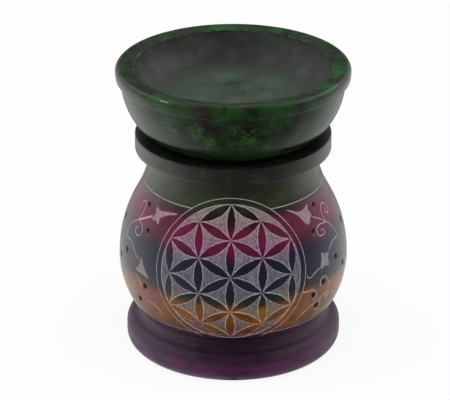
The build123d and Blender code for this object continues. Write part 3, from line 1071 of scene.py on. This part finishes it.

# %% [markdown]
# ## Wick
#
# The wick is cotton laid up in three strands. Each strand is the same line twisted round the axis, so the tree
# copies one straight line three times, moves the points of each copy round by the twist, and sweeps a small circle
# along them.


# %% The wick as a node tree
def wick_tree(finish):
    """A tree that lays up strands of cotton between two heights."""
    tree, given = tree_with("laid wick", {
        "Strands": 3, "Strand radius": 0.00035, "Lay radius": 0.00038, "Twists": 6.0, "Foot": 0.0, "Tip": 0.01})
    low, high = (node(tree, "ShaderNodeCombineXYZ", {"Z": given[key]}) for key in ("Foot", "Tip"))
    line = node(tree, "GeometryNodeCurvePrimitiveLine", {"Start": low, "End": high})
    line = node(tree, "GeometryNodeResampleCurve", {"Curve": line, "Count": 96})
    copies = node(tree, "GeometryNodeDuplicateElements", {
        "Geometry": line, "Amount": given["Strands"]}, domain="SPLINE")
    own_start = copies["Duplicate Index"].math("DIVIDE", given["Strands"])
    turn = node(tree, "GeometryNodeSplineParameter")["Factor"].scaled(given["Twists"], own_start) * math.tau
    x, y = turn.math("COSINE") * given["Lay radius"], turn.math("SINE") * given["Lay radius"]
    sideways = node(tree, "ShaderNodeCombineXYZ", {"X": x, "Y": y})
    laid = node(tree, "GeometryNodeSetPosition", {"Geometry": copies, "Offset": sideways})
    ring = node(tree, "GeometryNodeCurvePrimitiveCircle", {"Resolution": 8, "Radius": given["Strand radius"]})
    swept = node(tree, "GeometryNodeCurveToMesh", {"Curve": laid, "Profile Curve": ring, "Fill Caps": True})
    return ended(swept, finish)


cotton = bpy.data.materials.new("wick cotton")
wick = settle(drawn_outline("wick_line", [(0, 20.0)]), wick_tree(cotton), {
    "Strand radius": 0.35 * mm, "Lay radius": 0.39 * mm, "Twists": 7.0, "Foot": 19.75 * mm, "Tip": 37.35 * mm},
    "laid_wick")
smoothed(wick, 60)

# %% [markdown]
# ## Dyed stone
#
# The dye was brushed on in bands while the pot turned, so each band's edge wavers a little and the colours run into
# each other. The height of a point picks its dye from a colour ramp, with two noises that move the height: a wide one
# for the brush and a fine one for the grain. One darker band just under the collar is painted shade, and the upper
# foot's paler mauve sides are painted sheen. Where the knife went, the faces carry the attribute pale and show the
# stone itself, with the fine scratches of scraping. Inside and underneath the stone was never dyed; the drilled bores
# take the dyed colour, darkened: dye soaked into their mouths, and painted shade further in.


# %% Colours as a maker would mix them, and helpers for materials
def dye(r, g, b):
    """A colour written as it looks on a screen (0 to 255), as the linear values that shaders want."""
    return tuple((c / 255 / 12.92) if c <= 10 else ((c / 255 + 0.055) / 1.055) ** 2.4 for c in (r, g, b)) + (1.0,)


class Shade(Value):
    """A value of a material, with what finishes are mixed from. Colours are three numbers from 0 to 255."""

    def noise(self, scale, detail=3.0, rough=0.55):
        """Grey noise at this place, with its scale in cells per millimetre."""
        return add(self.tree, "TexNoise", {"Vector": self, "Scale": scale, "Detail": detail, "Roughness": rough})["Fac"]

    def vector(self, operation, others, key=0):
        """One step of arithmetic with places or colours."""
        return add(self.tree, "VectorMath", {0: self, **others}, operation=operation)[key]

    def distance(self, place):
        """How far this place is from another."""
        return self.vector("DISTANCE", {1: place}, "Value")

    def blend(self, share, other):
        """This colour with a share of another mixed in."""
        other = dye(*other) if isinstance(other, tuple) else other
        return add(self.tree, "Mix", {0: share, 6: self, 7: other}, data_type="RGBA")[2]

    def choose(self, off, on):
        """A number that is one where this share is 0 and another where it is 1."""
        return add(self.tree, "Mix", {0: self, 2: off, 3: on}, data_type="FLOAT")

    def ramp(self, stops):
        """A colour ramp from (place, linear colour) pairs."""
        made = add(self.tree, "ValToRGB", {0: self})
        band = made.source.color_ramp
        while len(band.elements) < len(stops):
            band.elements.new(0.5)
        for element, (place, colour) in zip(band.elements, sorted(stops)):
            element.position, element.color = place, colour
        return made

    def tint(self, *stops, top=1):
        """A colour ramp of stops (place, red, green, blue) whose places run from 0 to top."""
        return self.ramp([(place / top, dye(*colour)) for place, *colour in stops])


def add(tree, kind, links=None, **settings):
    """Adds a shader node."""
    return Shade(node(tree, "ShaderNode" + kind, links, **settings).source)


# %% A material to fill in
class Finish:
    """A material, emptied and given a principled shader."""

    def __init__(self, material):
        material.use_nodes = True
        self.name, self.tree = material.name, material.node_tree
        self.tree.nodes.clear()
        self.surface = add(self.tree, "BsdfPrincipled")
        self.output = add(self.tree, "OutputMaterial", {0: self.surface})

    def place(self, *stretch):
        """Object coordinates in millimetres, stretched along the axes."""
        coords = add(self.tree, "TexCoord")["Object"]
        return coords.vector("MULTIPLY", {1: tuple(1000 * k for k in stretch or (1, 1, 1))})

    def set(self, inputs):
        """Sets or links inputs of the shader."""
        fill(self.surface.source, inputs)

    def bump(self, height, strength, distance):
        """Roughens the surface by a height."""
        self.set({"Normal": add(self.tree, "Bump", {"Height": height, "Strength": strength, "Distance": distance})})


# %% Helpers for patches of dye
def dabs(where, places, most):
    """How much dye there is: the most inside any of the dabs (x, y, z, radius), and none outside."""
    share = None
    for *place, radius in places:
        inside = where.distance(tuple(place)).between(radius, radius * 0.4, 0.0, most)
        share = share.math("MAXIMUM", inside) if share else inside
    return share


def wandered(grain, scale, reach):
    """The place on the piece, pushed about by up to reach mm, so that a dab made round it gets a ragged edge."""
    wobble = add(grain.tree, "TexNoise", {"Vector": grain, "Scale": scale, "Detail": 5.0, "Roughness": 0.72})["Color"]
    off_course = wobble.vector("SUBTRACT", {1: (0.5, 0.5, 0.5)})
    return off_course.vector("MULTIPLY_ADD", {1: (2 * reach,) * 3, 2: grain})


# %% The pot's finish: bands of dye
dye_bands = [  # height, main colour, colour of the second coat
    (0.0, (72, 16, 68), (48, 16, 46)), (5.6, (72, 16, 66), (46, 16, 44)), (8.6, (44, 19, 42), (34, 17, 34)),
    (13.5, (36, 16, 34), (30, 15, 29)), (16.2, (46, 16, 40), (36, 15, 34)), (17.8, (66, 18, 54), (48, 16, 42)),
    (18.8, (92, 50, 20), (70, 38, 18)), (21.0, (108, 62, 20), (84, 48, 20)), (24.0, (120, 70, 20), (96, 54, 22)),
    (30.2, (116, 67, 22), (88, 52, 32)), (32.2, (46, 42, 28), (36, 38, 28)), (34.4, (28, 33, 34), (28, 33, 31)),
    (38.0, (25, 27, 49), (26, 35, 44)), (46.2, (27, 25, 50), (24, 26, 38)), (48.8, (66, 18, 46), (54, 20, 36)),
    (52.0, (96, 16, 60), (84, 24, 46)), (57.6, (94, 22, 52), (74, 26, 38)), (60.4, (52, 26, 34), (46, 26, 28)),
    (62.0, (36, 32, 28), (34, 30, 26)), (63.6, (46, 54, 28), (36, 40, 28)), (68.0, (46, 58, 30), (40, 42, 30)),
    # The stop at 74.0 is darker than its neighbours: painted shade under the collar's overhang.
    (72.2, (36, 48, 26), (36, 34, 24)), (74.0, (20, 28, 17), (24, 24, 20)), (75.6, (28, 30, 24), (23, 25, 21)),
    (79.5, (26, 28, 23), (21, 23, 19)), (80.0, (27, 28, 26), (23, 24, 22)),
]
ramp_height = 110.0
coat = Finish(body_stone)
grain = coat.place()
x, _, z = grain.parts()
brush = coat.place(1, 1, 0.5).noise(0.055).scaled(5.0, -2.5)
bleed = grain.noise(0.6, 4.0, 0.7).scaled(2.2, -1.1)
aside = x.math("ABSOLUTE")
wavering = z + brush + bleed - aside.between(13.0, 29.0, 0.0, 2.4)
share = z.between(18.6, 23.0).choose(z, wavering).math("DIVIDE", ramp_height)
first_coat = share.tint(*((level, *main) for level, main, _ in dye_bands), top=ramp_height)
second_coat = share.tint(*((level, *other) for level, _, other in dye_bands), top=ramp_height)
cloud = coat.place(1, 1, 1.6).noise(0.13, 5.0, 0.6)
dyed = first_coat.blend(cloud.between(0.40, 0.66), second_coat)
pooled = coat.place(1, 1, 1.4).noise(0.21, 5.0, 0.7)
dyed = dyed.blend(pooled.between(0.48, 0.80, 0.0, 0.42), (20, 15, 18))
print("dye bands:", len(dye_bands))

# %% The pot's finish: patches, worn dye and painted sheen on the foot
spilt = wandered(grain, 0.2, 5.0)
for places, most, colour in (
    ([(-27, -27, 31, 6), (-30, -22, 28, 8)], 0.55, (112, 50, 50)), ([(-33, -20, 40, 4)], 0.6, (74, 34, 44)),
    ([(0, -32, 62, 6), (-7, -32, 61, 5), (7, -32, 61, 5)], 0.8, (30, 19, 20)),
):
    dyed = dyed.blend(dabs(spilt, places, most), colour)
streaks = coat.place(0.10, 0.10, 2.2).noise(0.8, 4.0, 0.6)
low_down, high_up = z.between(16.6, 15.8), z.between(60.0, 64.0)
neck_cloud = coat.place(1, 1, 1.8).noise(0.16, 5.0, 0.75)
# Painted sheen: the upper foot turns paler mauve away from the front, where the polished stone turns away and reflects
# the white surroundings.
painted_side_sheen = aside.between(6.0, 28.0, 0.0, 0.32) * z.between(6.0, 10.5)
for amount, colour in (
    (streaks.between(0.50, 0.72) * low_down.scaled(0.17, 0.01), (104, 74, 100)),
    (high_up * neck_cloud.between(0.50, 0.62, 0.0, 0.55), (25, 30, 18)),
    (high_up * neck_cloud.between(0.46, 0.36, 0.0, 0.4), (52, 62, 34)),
    (low_down * painted_side_sheen, (92, 66, 88)),
    (dabs(spilt, [(27, -27, 29, 5), (31, -22, 25, 4)], 0.5), (62, 36, 24)),
    (dabs(grain, [(10, -38, 27, 4.5)], 0.55), (136, 98, 26)),
):
    dyed = dyed.blend(amount, colour)
print("patches of dye on the pot made")

# %% The pot's finish: scraped ground
knife, undyed = (add(coat.tree, "Attribute", attribute_name=tag)["Fac"] for tag in ("pale", "bare"))
in_ground, in_stroke = knife.between(0.1, 0.4), knife.between(0.6, 0.9)
in_leaf = knife.between(0.6, 0.68) * knife.between(0.8, 0.72)
on_vine = grain.distance((0, -38, 42)).between(24.5, 26.5) * knife.between(0.8, 0.95)
upright = coat.place(2.4, 2.4, 0.45).noise(1.0, 4.0, 0.7)
crossing = grain.noise(1.5, 4.0, 0.75)
scratches = upright * 0.55 + crossing * 0.45
chalky = grain.noise(0.11, 4.0, 0.6)
ground_stone = share.tint(
    (17.0, 82, 64, 68), (21.0, 96, 80, 80), (25.0, 110, 92, 88), (30.0, 112, 96, 88), (34.0, 92, 88, 92),
    (41.0, 88, 85, 93), (46.5, 96, 87, 100), (50.0, 116, 94, 108), (58.0, 126, 100, 108), (62.0, 126, 110, 110),
    (66.0, 112, 104, 100), top=ramp_height)
ground_stone = ground_stone.vector("SCALE", {"Scale": scratches.between(0.36, 0.66, 0.45, 1.85)})
ground_stone = ground_stone.blend(chalky.between(0.58, 0.74, 0.0, 0.45), (140, 148, 166))
ground_stone = ground_stone.blend(in_leaf * 0.5, (134, 130, 128))
print("scraped ground made")

# %% The pot's finish: strokes of the knife, and the inside
stroke_stone = share.tint(
    (14.0, 130, 104, 130), (20.0, 178, 144, 128), (30.5, 188, 160, 144), (33.5, 160, 156, 160), (41.0, 148, 145, 158),
    (46.5, 150, 140, 158), (50.0, 176, 138, 158), (58.0, 184, 138, 156), (61.0, 176, 150, 156), (66.0, 170, 170, 162),
    top=ramp_height)
stroke_stone = stroke_stone.vector("SCALE", {"Scale": crossing.between(0.34, 0.66, 0.45, 1.35)})
stroke_stone = stroke_stone.blend(z.between(60.5, 62.0, 0.0, 0.8), (162, 164, 152))
stroke_stone = stroke_stone.blend(on_vine * 0.26, (222, 206, 212))
inner_stone = grain.noise(0.35, 6.0, 0.65).tint((0.3, 96, 88, 84), (0.55, 132, 124, 118), (0.75, 158, 150, 142))
bare = undyed.math("MINIMUM", 1.0)
colour = dyed.blend(in_ground, ground_stone).blend(in_stroke, stroke_stone).blend(bare, inner_stone)
# The drilled bores take the dark dyed colour with a little pale stone, in place of the pale inner stone: dye soaked
# into their mouths, and painted shade down the bores.
colour = colour.blend(undyed.between(1.2, 1.8), dyed.blend(0.28, inner_stone))
print("colours of the pot joined")

# %% The pot's finish: polish
dull = in_ground.math("MAXIMUM", in_stroke).math("MAXIMUM", bare)
on_neck, on_foot = z.between(58.0, 65.0), z.between(18.5, 16.5)
low_belly = z.between(32.0, 22.0) * z.between(17.0, 19.0)
polish = on_foot.scaled(0.27, on_neck.scaled(0.10, cloud.scaled(0.16, 0.14) + dull * 0.42))
sheen = on_neck.scaled(0.16, on_foot.scaled(-0.03, low_belly.scaled(-0.27, 0.34)))
coat.set({"Base Color": colour, "Specular IOR Level": sheen, "Roughness": polish})
coat.bump(streaks * 0.02 + scratches * dull * 1.2, 0.6, 0.0002)
print(coat.name, "has", len(coat.tree.nodes), "nodes")

# %% [markdown]
# ## Mottled green stone
#
# The bowl was dyed in one go: dark green sponged over the stone, with black and rusty clouds where the dye pooled and
# brighter green where it was thin, and painted shade darkens it towards its underside. Inside, the dish was left
# duller: brownish on its wall and greener on its floor, with a brighter patch of painted highlight on the floor and
# the rings of the last cut. A pale line is painted along the sharp edge between the rim and the dish, and glints are
# painted as pale dabs on the rim's outer edge at the front.

# %% The bowl's finish: green clouds
glaze = Finish(bowl_stone)
grain = glaze.place()
x, y, z = grain.parts()
from_axis = add(glaze.tree, "CombineXYZ", {"X": x, "Y": y}).vector("LENGTH", {}, "Value")
patches = glaze.place(1, 1, 1.2).noise(0.15, 4.0, 0.6)
green = patches.tint((0.34, 13, 17, 12), (0.44, 20, 32, 17), (0.52, 24, 44, 20), (0.60, 25, 54, 24), (0.72, 32, 70, 30))
wandering = wandered(grain, 0.30, 9.0)
pools = [(-7, -38, 93, 8), (-5, -38, 99, 4), (7, -40, 103, 4), (18, -33, 93, 6), (-28, -28, 97, 5)]
thin_dye = [
    (-25, 28, 105, 5), (-4, 36, 105, 5), (-23, -33, 103, 8), (-4, -41, 101, 5), (34, -5, 103, 8), (31, -19, 103, 6),
    (15, -37, 103, 9), (1, -41, 103, 5), (11, -33, 85, 6), (-16, -37, 103, 4)]
bright_rim = [(34, -5, 103, 9), (31, -19, 104, 4), (-4, 37, 105, 7), (16, 35, 105, 5)]
rusty = [
    (-11, -40, 103, 7), (-18, -35, 95, 4), (-14, -32, 89, 5), (-16, 33, 103, 7), (-35, -15, 105, 6), (23, -32, 99, 5),
    (29, 23, 103, 5)]
limes = [
    (-12, -37, 95, 4), (-8, -37, 91, 3.6), (-21, -32, 95, 3.4), (5, -37, 93, 2.8), (1, -37, 95, 2.2),
    (26, 26, 101, 3.4)]
rust = glaze.place(1.2, 1.2, 1.5).noise(0.12, 3.0, 0.5)
fleck = grain.noise(0.6, 4.0, 0.65)
for amount, colour in (
    (dabs(wandering, pools, 0.75), (13, 17, 13)), (dabs(wandering, thin_dye, 0.5), (28, 72, 27)),
    (dabs(wandering, bright_rim, 0.6), (30, 86, 30)), (rust.between(0.57, 0.68, 0.0, 0.5), (40, 27, 24)),
    (dabs(wandering, rusty, 0.5), (40, 26, 26)), (dabs(wandering, limes, 0.6), (58, 84, 34)),
    (fleck.between(0.46, 0.34, 0.0, 0.4), (10, 14, 10)), (fleck.between(0.58, 0.78, 0.0, 0.2), (72, 98, 60)),
    # darker towards the underside, where the bowl turns down into the pot's mouth: painted shade
    (z.between(91.0, 84.0, 0.0, 0.5), (13, 20, 13)),
):
    green = green.blend(amount, colour)
print("green clouds made")

# %% The bowl's finish: dish, painted pale edge, painted glints and underside
dish_cloud = grain.noise(0.13, 4.0, 0.55)
down_wall = add(glaze.tree, "CombineXYZ", {"X": x.math("ARCTAN2", y) * 9.0, "Y": z * 0.08})
wall_mix = dish_cloud * 0.85 + down_wall.noise(1.0, 4.0, 0.7) * 0.15
wall_colour = wall_mix.tint((0.36, 37, 39, 36), (0.46, 43, 45, 42), (0.54, 47, 49, 46), (0.66, 54, 61, 55))
floor_colour = dish_cloud.tint((0.34, 49, 61, 51), (0.46, 55, 66, 58), (0.56, 60, 71, 62), (0.68, 66, 79, 68))
floor_colour = floor_colour.blend(dabs(wandering, [(2, 4, 91, 4), (1, 10, 92, 5)], 0.6), (22, 40, 22))
# A brighter green patch on the right of the dish's floor: painted highlight.
floor_colour = floor_colour.blend(dabs(wandering, [(18, 16, 93, 6)], 0.5), (52, 84, 48))
rings_cut = add(glaze.tree, "TexNoise", {"W": from_axis * 1.5, "Scale": 1.0, "Detail": 4.0}, noise_dimensions="1D")
rings_cut = rings_cut["Fac"]
floor_colour = floor_colour.blend(rings_cut.between(0.52, 0.70, 0.0, 0.18), (84, 98, 88))
on_floor = (from_axis + dish_cloud * 14.0).between(35.0, 27.0)
in_dish = from_axis.between(34.75, 34.35) * z.between(91.0, 92.0)
on_edge = from_axis.between(34.36, 34.48) * from_axis.between(34.86, 34.66) * z.between(103.6, 104.2)
on_lip = from_axis.between(34.15, 34.35) * from_axis.between(35.5, 35.0) * z.between(103.2, 103.8)
under = from_axis.between(27.4, 27.2) * z.between(90.0, 89.0)
# Painted highlights: two short rows of pale dabs on the rim's outer edge, at the front left and at the front, stand in
# for glints of light.
glint_turns = [(-37.4 + 0.75 * k, 0.42) for k in range(7)] + [(1.4 + 0.7 * k, 0.30) for k in range(5)]
glint_ring, glint_height = 40.15, 104.3
painted_glints = [(glint_ring * math.sin(math.radians(a)), -glint_ring * math.cos(math.radians(a)), glint_height, r)
         for a, r in glint_turns]
print("dish and its wear made")

# %% The bowl's finish put together
colour = green.blend(in_dish, wall_colour.blend(on_floor, floor_colour))
# A pale line painted along the sharp edge between the rim and the dish, broken up by the flecks.
colour = colour.blend(on_edge * fleck.between(0.46, 0.66, 0.0, 0.55), (92, 104, 90))
# Pale dabs on the rim's outer edge: painted highlights.
colour = colour.blend(dabs(grain, painted_glints, 0.8), (206, 210, 190))
colour = colour.blend(under, dish_cloud.tint((0.3, 92, 86, 82), (0.7, 146, 138, 130)))
polish = patches.scaled(0.14, 0.12) + in_dish.math("MAXIMUM", under) * 0.34
glints = glaze.place().noise(0.16, 2.0).between(0.62, 0.56)
sheen = z.between(84.0, 99.0, 0.05, 0.36) - on_lip * glints * 0.30
glaze.set({"Base Color": colour, "Specular IOR Level": sheen, "Roughness": polish})
glaze.bump(glaze.place(0.25, 0.25, 4.0).noise(0.8, 3.0, 0.6) * 0.04 + rings_cut * in_dish * 0.6, 0.5, 0.0002)
print(glaze.name, "has", len(glaze.tree.nodes), "nodes")

# %% [markdown]
# ## The candle's finishes
#
# The foil is bare metal with fine lines from drawing it into a cup, the wax is milky and lets light in under its
# skin, the plate is dull tin, and the cotton is soft and fibrous.

# %% Foil, wax, tin and cotton
candle_finishes = (  # material, stretch and kind of its noise, darkest and palest colour, roughness, bump, the rest
    (cup_foil, (1.0, 1.0, 0.15), (2.2, 4.0, 0.6), (214, 216, 218), (236, 237, 238), (0.22, 0.16), (0.25, 0.0001),
     {"Metallic": 1.0}),
    (candle_wax, (1, 1, 1), (0.18, 4.0, 0.6), (236, 232, 220), (246, 243, 234), (0.2, 0.32), None,
     {"Subsurface Weight": 0.35, "Subsurface Radius": (0.003, 0.0024, 0.0018), "Subsurface Scale": 1.0}),
    (tinned_plate, (1, 1, 1), (0.9, 4.0, 0.6), (176, 178, 178), (206, 207, 206), (0.25, 0.28), None, {"Metallic": 1.0}),
    (cotton, (4, 4, 1), (2.0, 4.0, 0.7), (196, 186, 166), (238, 232, 216), None, (0.7, 0.0001), {"Roughness": 0.9}),
)
for material, stretch, kind, dark, light, rough, bump, rest in candle_finishes:
    made = Finish(material)
    cloud = made.place(*stretch).noise(*kind)
    made.set({"Base Color": cloud.tint((0.3, *dark), (0.7, *light)), **rest})
    if rough:
        made.set({"Roughness": cloud.scaled(*rough)})
    if material == candle_wax:
        made.bump(made.place().noise(0.5), 0.2, 0.0002)
    elif bump:
        made.bump(cloud, *bump)
    print(made.name, "has", len(made.tree.nodes), "nodes")

# %% [markdown]
# ## Which piece stands for which solid
#
# Each finished piece takes the place of its measured solid and moves with that solid's body: the pot stays, the bowl
# lifts off, and the candle slides out through the door.

# %% Hand the pieces over
for piece, solid, body, finish in (
    (pot, "burner_body", "pot", "body_stone"), (bowl, "oil_bowl", "bowl", "bowl_stone"),
    (cup, "tealight_cup", "tealight", "cup_foil"), (wax, "tealight_wax", "tealight", "wax"),
    (plate, "wick_sustainer", "tealight", "sustainer_plate"), (wick, "tealight_wick", "tealight", "wick_cotton"),
):
    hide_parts(solid)
    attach(piece, body)
    print(piece.name, "stands for", solid, "with", len(piece.data.polygons), "faces")

# %% [markdown]
# ## Table, light and camera
#
# The photograph was taken on white with broad soft light from both sides and little from the camera's side, so the
# stone goes pale where it turns away and stays deep in the middle. Two large soft lamps stand at the sides. The
# floor and the surroundings are white to the camera, and the floor keeps a faint shadow.

# %% Helpers for what the polished stone reflects
def backdrop_rays(tree):
    """1 for the rays that should see plain white: from the camera, through glass, or off a polished surface. Gives
    also the share that comes off a polished surface."""
    path = add(tree, "LightPath")
    seen = path["Is Camera Ray"] + path["Is Transmission Ray"]
    return (seen + path["Is Glossy Ray"]).math("MINIMUM", 1.0), path["Is Glossy Ray"]


def grey(stops):
    """Ramp stops of brightness. A ramp holds at most 1, so they are halved here and doubled after the ramp."""
    return [(place, (b / 2, b / 2, b / 2, 1)) for place, b in stops]


def panorama(right, back, stops):
    """Brightness by the compass: stops are (degrees round from the camera, clockwise seen from above, brightness)."""
    turn = right.math("ARCTAN2", back * -1.0).scaled(1 / math.tau, 0.5)
    return turn.ramp(grey([(0.5 + a / 360, b) for a, b in stops])) * 2.0


low_light = [
    (-180, 0.12), (-162, 0.25), (-145, 0.95), (-122, 1.45), (-105, 1.55), (-88, 1.15), (-74, 0.90), (-60, 0.50),
    (-46, 0.25), (-30, 0.13), (-12, 0.05), (0, 0.02), (30, 0.03), (50, 0.06), (64, 0.13), (76, 0.28), (88, 0.60),
    (102, 1.00), (120, 1.25), (145, 0.95), (162, 0.25), (180, 0.12),
]
high_light = [
    (-180, 0.12), (-158, 0.40), (-138, 0.95), (-112, 0.80), (-90, 0.60), (-70, 0.35), (-45, 0.15), (0, 0.02),
    (45, 0.08), (70, 0.25), (92, 0.60), (112, 0.85), (138, 1.10), (158, 0.50), (180, 0.12),
]
print("panorama of", len(low_light), "low and", len(high_light), "high stops")

# %% Floor
floor_radius, floor_corners, white = 1.5, 64, (1, 1, 1, 1)
floor_mesh = bpy.data.meshes.new("table")
floor_turns = np.linspace(0, math.tau, floor_corners + 1)[:-1]
floor_mesh.from_pydata([(floor_radius * math.cos(t), floor_radius * math.sin(t), 0) for t in floor_turns], [],
                       [list(range(floor_corners))])
table = shown("table", floor_mesh)
table.data.materials.append(bpy.data.materials.new("white table"))
paint = Finish(table.data.materials[0])
paint.set({"Base Color": (0.82, 0.82, 0.82, 1), "Roughness": 0.8})
seen, off_polish = backdrop_rays(paint.tree)
x, y, _ = add(paint.tree, "TexCoord")["Object"].parts()
glow_level = off_polish.choose(1.0, panorama(x, y + 0.04, low_light))
glow = add(paint.tree, "Emission", {"Color": white, "Strength": glow_level})
both = add(paint.tree, "MixShader", {0: seen * 0.9, 1: paint.surface, 2: glow})
fill(paint.output.source, {0: both})
table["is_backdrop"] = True
print("table of", floor_radius, "m")

# %% Surroundings
surroundings = bpy.data.worlds.new("surroundings")
bpy.context.scene.world = surroundings
surroundings.use_nodes = True
tree = surroundings.node_tree
tree.nodes.clear()
seen, off_polish = backdrop_rays(tree)
x, y, z = add(tree, "TexCoord")["Generated"].parts()
lit = z.between(0.02, 0.36).choose(panorama(x, y, low_light), panorama(x, y, high_light))
over_head = z.ramp(grey([(0.38, 1.0), (0.60, 1.9), (0.82, 1.6), (0.97, 0.05)]))
white_level = off_polish.choose(1.0, lit * over_head * 2.0)
soft = add(tree, "Background", {"Color": white, "Strength": 0.55})
plain = add(tree, "Background", {"Color": white, "Strength": white_level})
add(tree, "OutputWorld", {0: add(tree, "MixShader", {0: seen, 1: soft, 2: plain})})
print(surroundings.name, "has", len(tree.nodes), "nodes")


# %% Lamps and camera
def facing(place, target):
    """How a lamp or a camera at a place is turned to look at a target."""
    return (Vector(target) - Vector(place)).to_track_quat("-Z", "Y").to_euler()


for name, place, size, power in (
    ("left_lamp", (-0.9, 0.1, 0.45), 0.9, 4.4), ("right_lamp", (0.9, 0.1, 0.45), 0.9, 3.4),
    ("top_lamp", (0, -0.35, 1.1), 0.7, 5.5),
):
    lamp = bpy.data.lights.new(name, "AREA")
    lamp.size, lamp.energy = size, power
    made = shown(name, lamp)
    made.location, made.rotation_euler = place, facing(place, (0, 0, 0.05))
    made.visible_glossy = False  # reflections show the panorama instead

view = bpy.data.cameras.new("photo_camera")
view.sensor_width, view.lens = 36.0, 217.8
view.shift_x, view.shift_y = -0.01822, 0.004978
camera = shown("photo_camera", view)
camera.location = (0, -0.8774, 0.4514)
camera.rotation_euler = facing(camera.location, (0, 0, 0.0525))
bpy.context.scene.camera = camera
bpy.context.scene.view_settings.view_transform = "Standard"
print("camera looks down at %.2f degrees" % (90 - math.degrees(camera.rotation_euler.x)))

# %% Compare sizes and finish
model_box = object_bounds()
for name, box in (("CAD", cad_box), ("model", model_box)):
    print(name, "box in mm:", [[round(v / mm, 2) for v in corner] for corner in box])
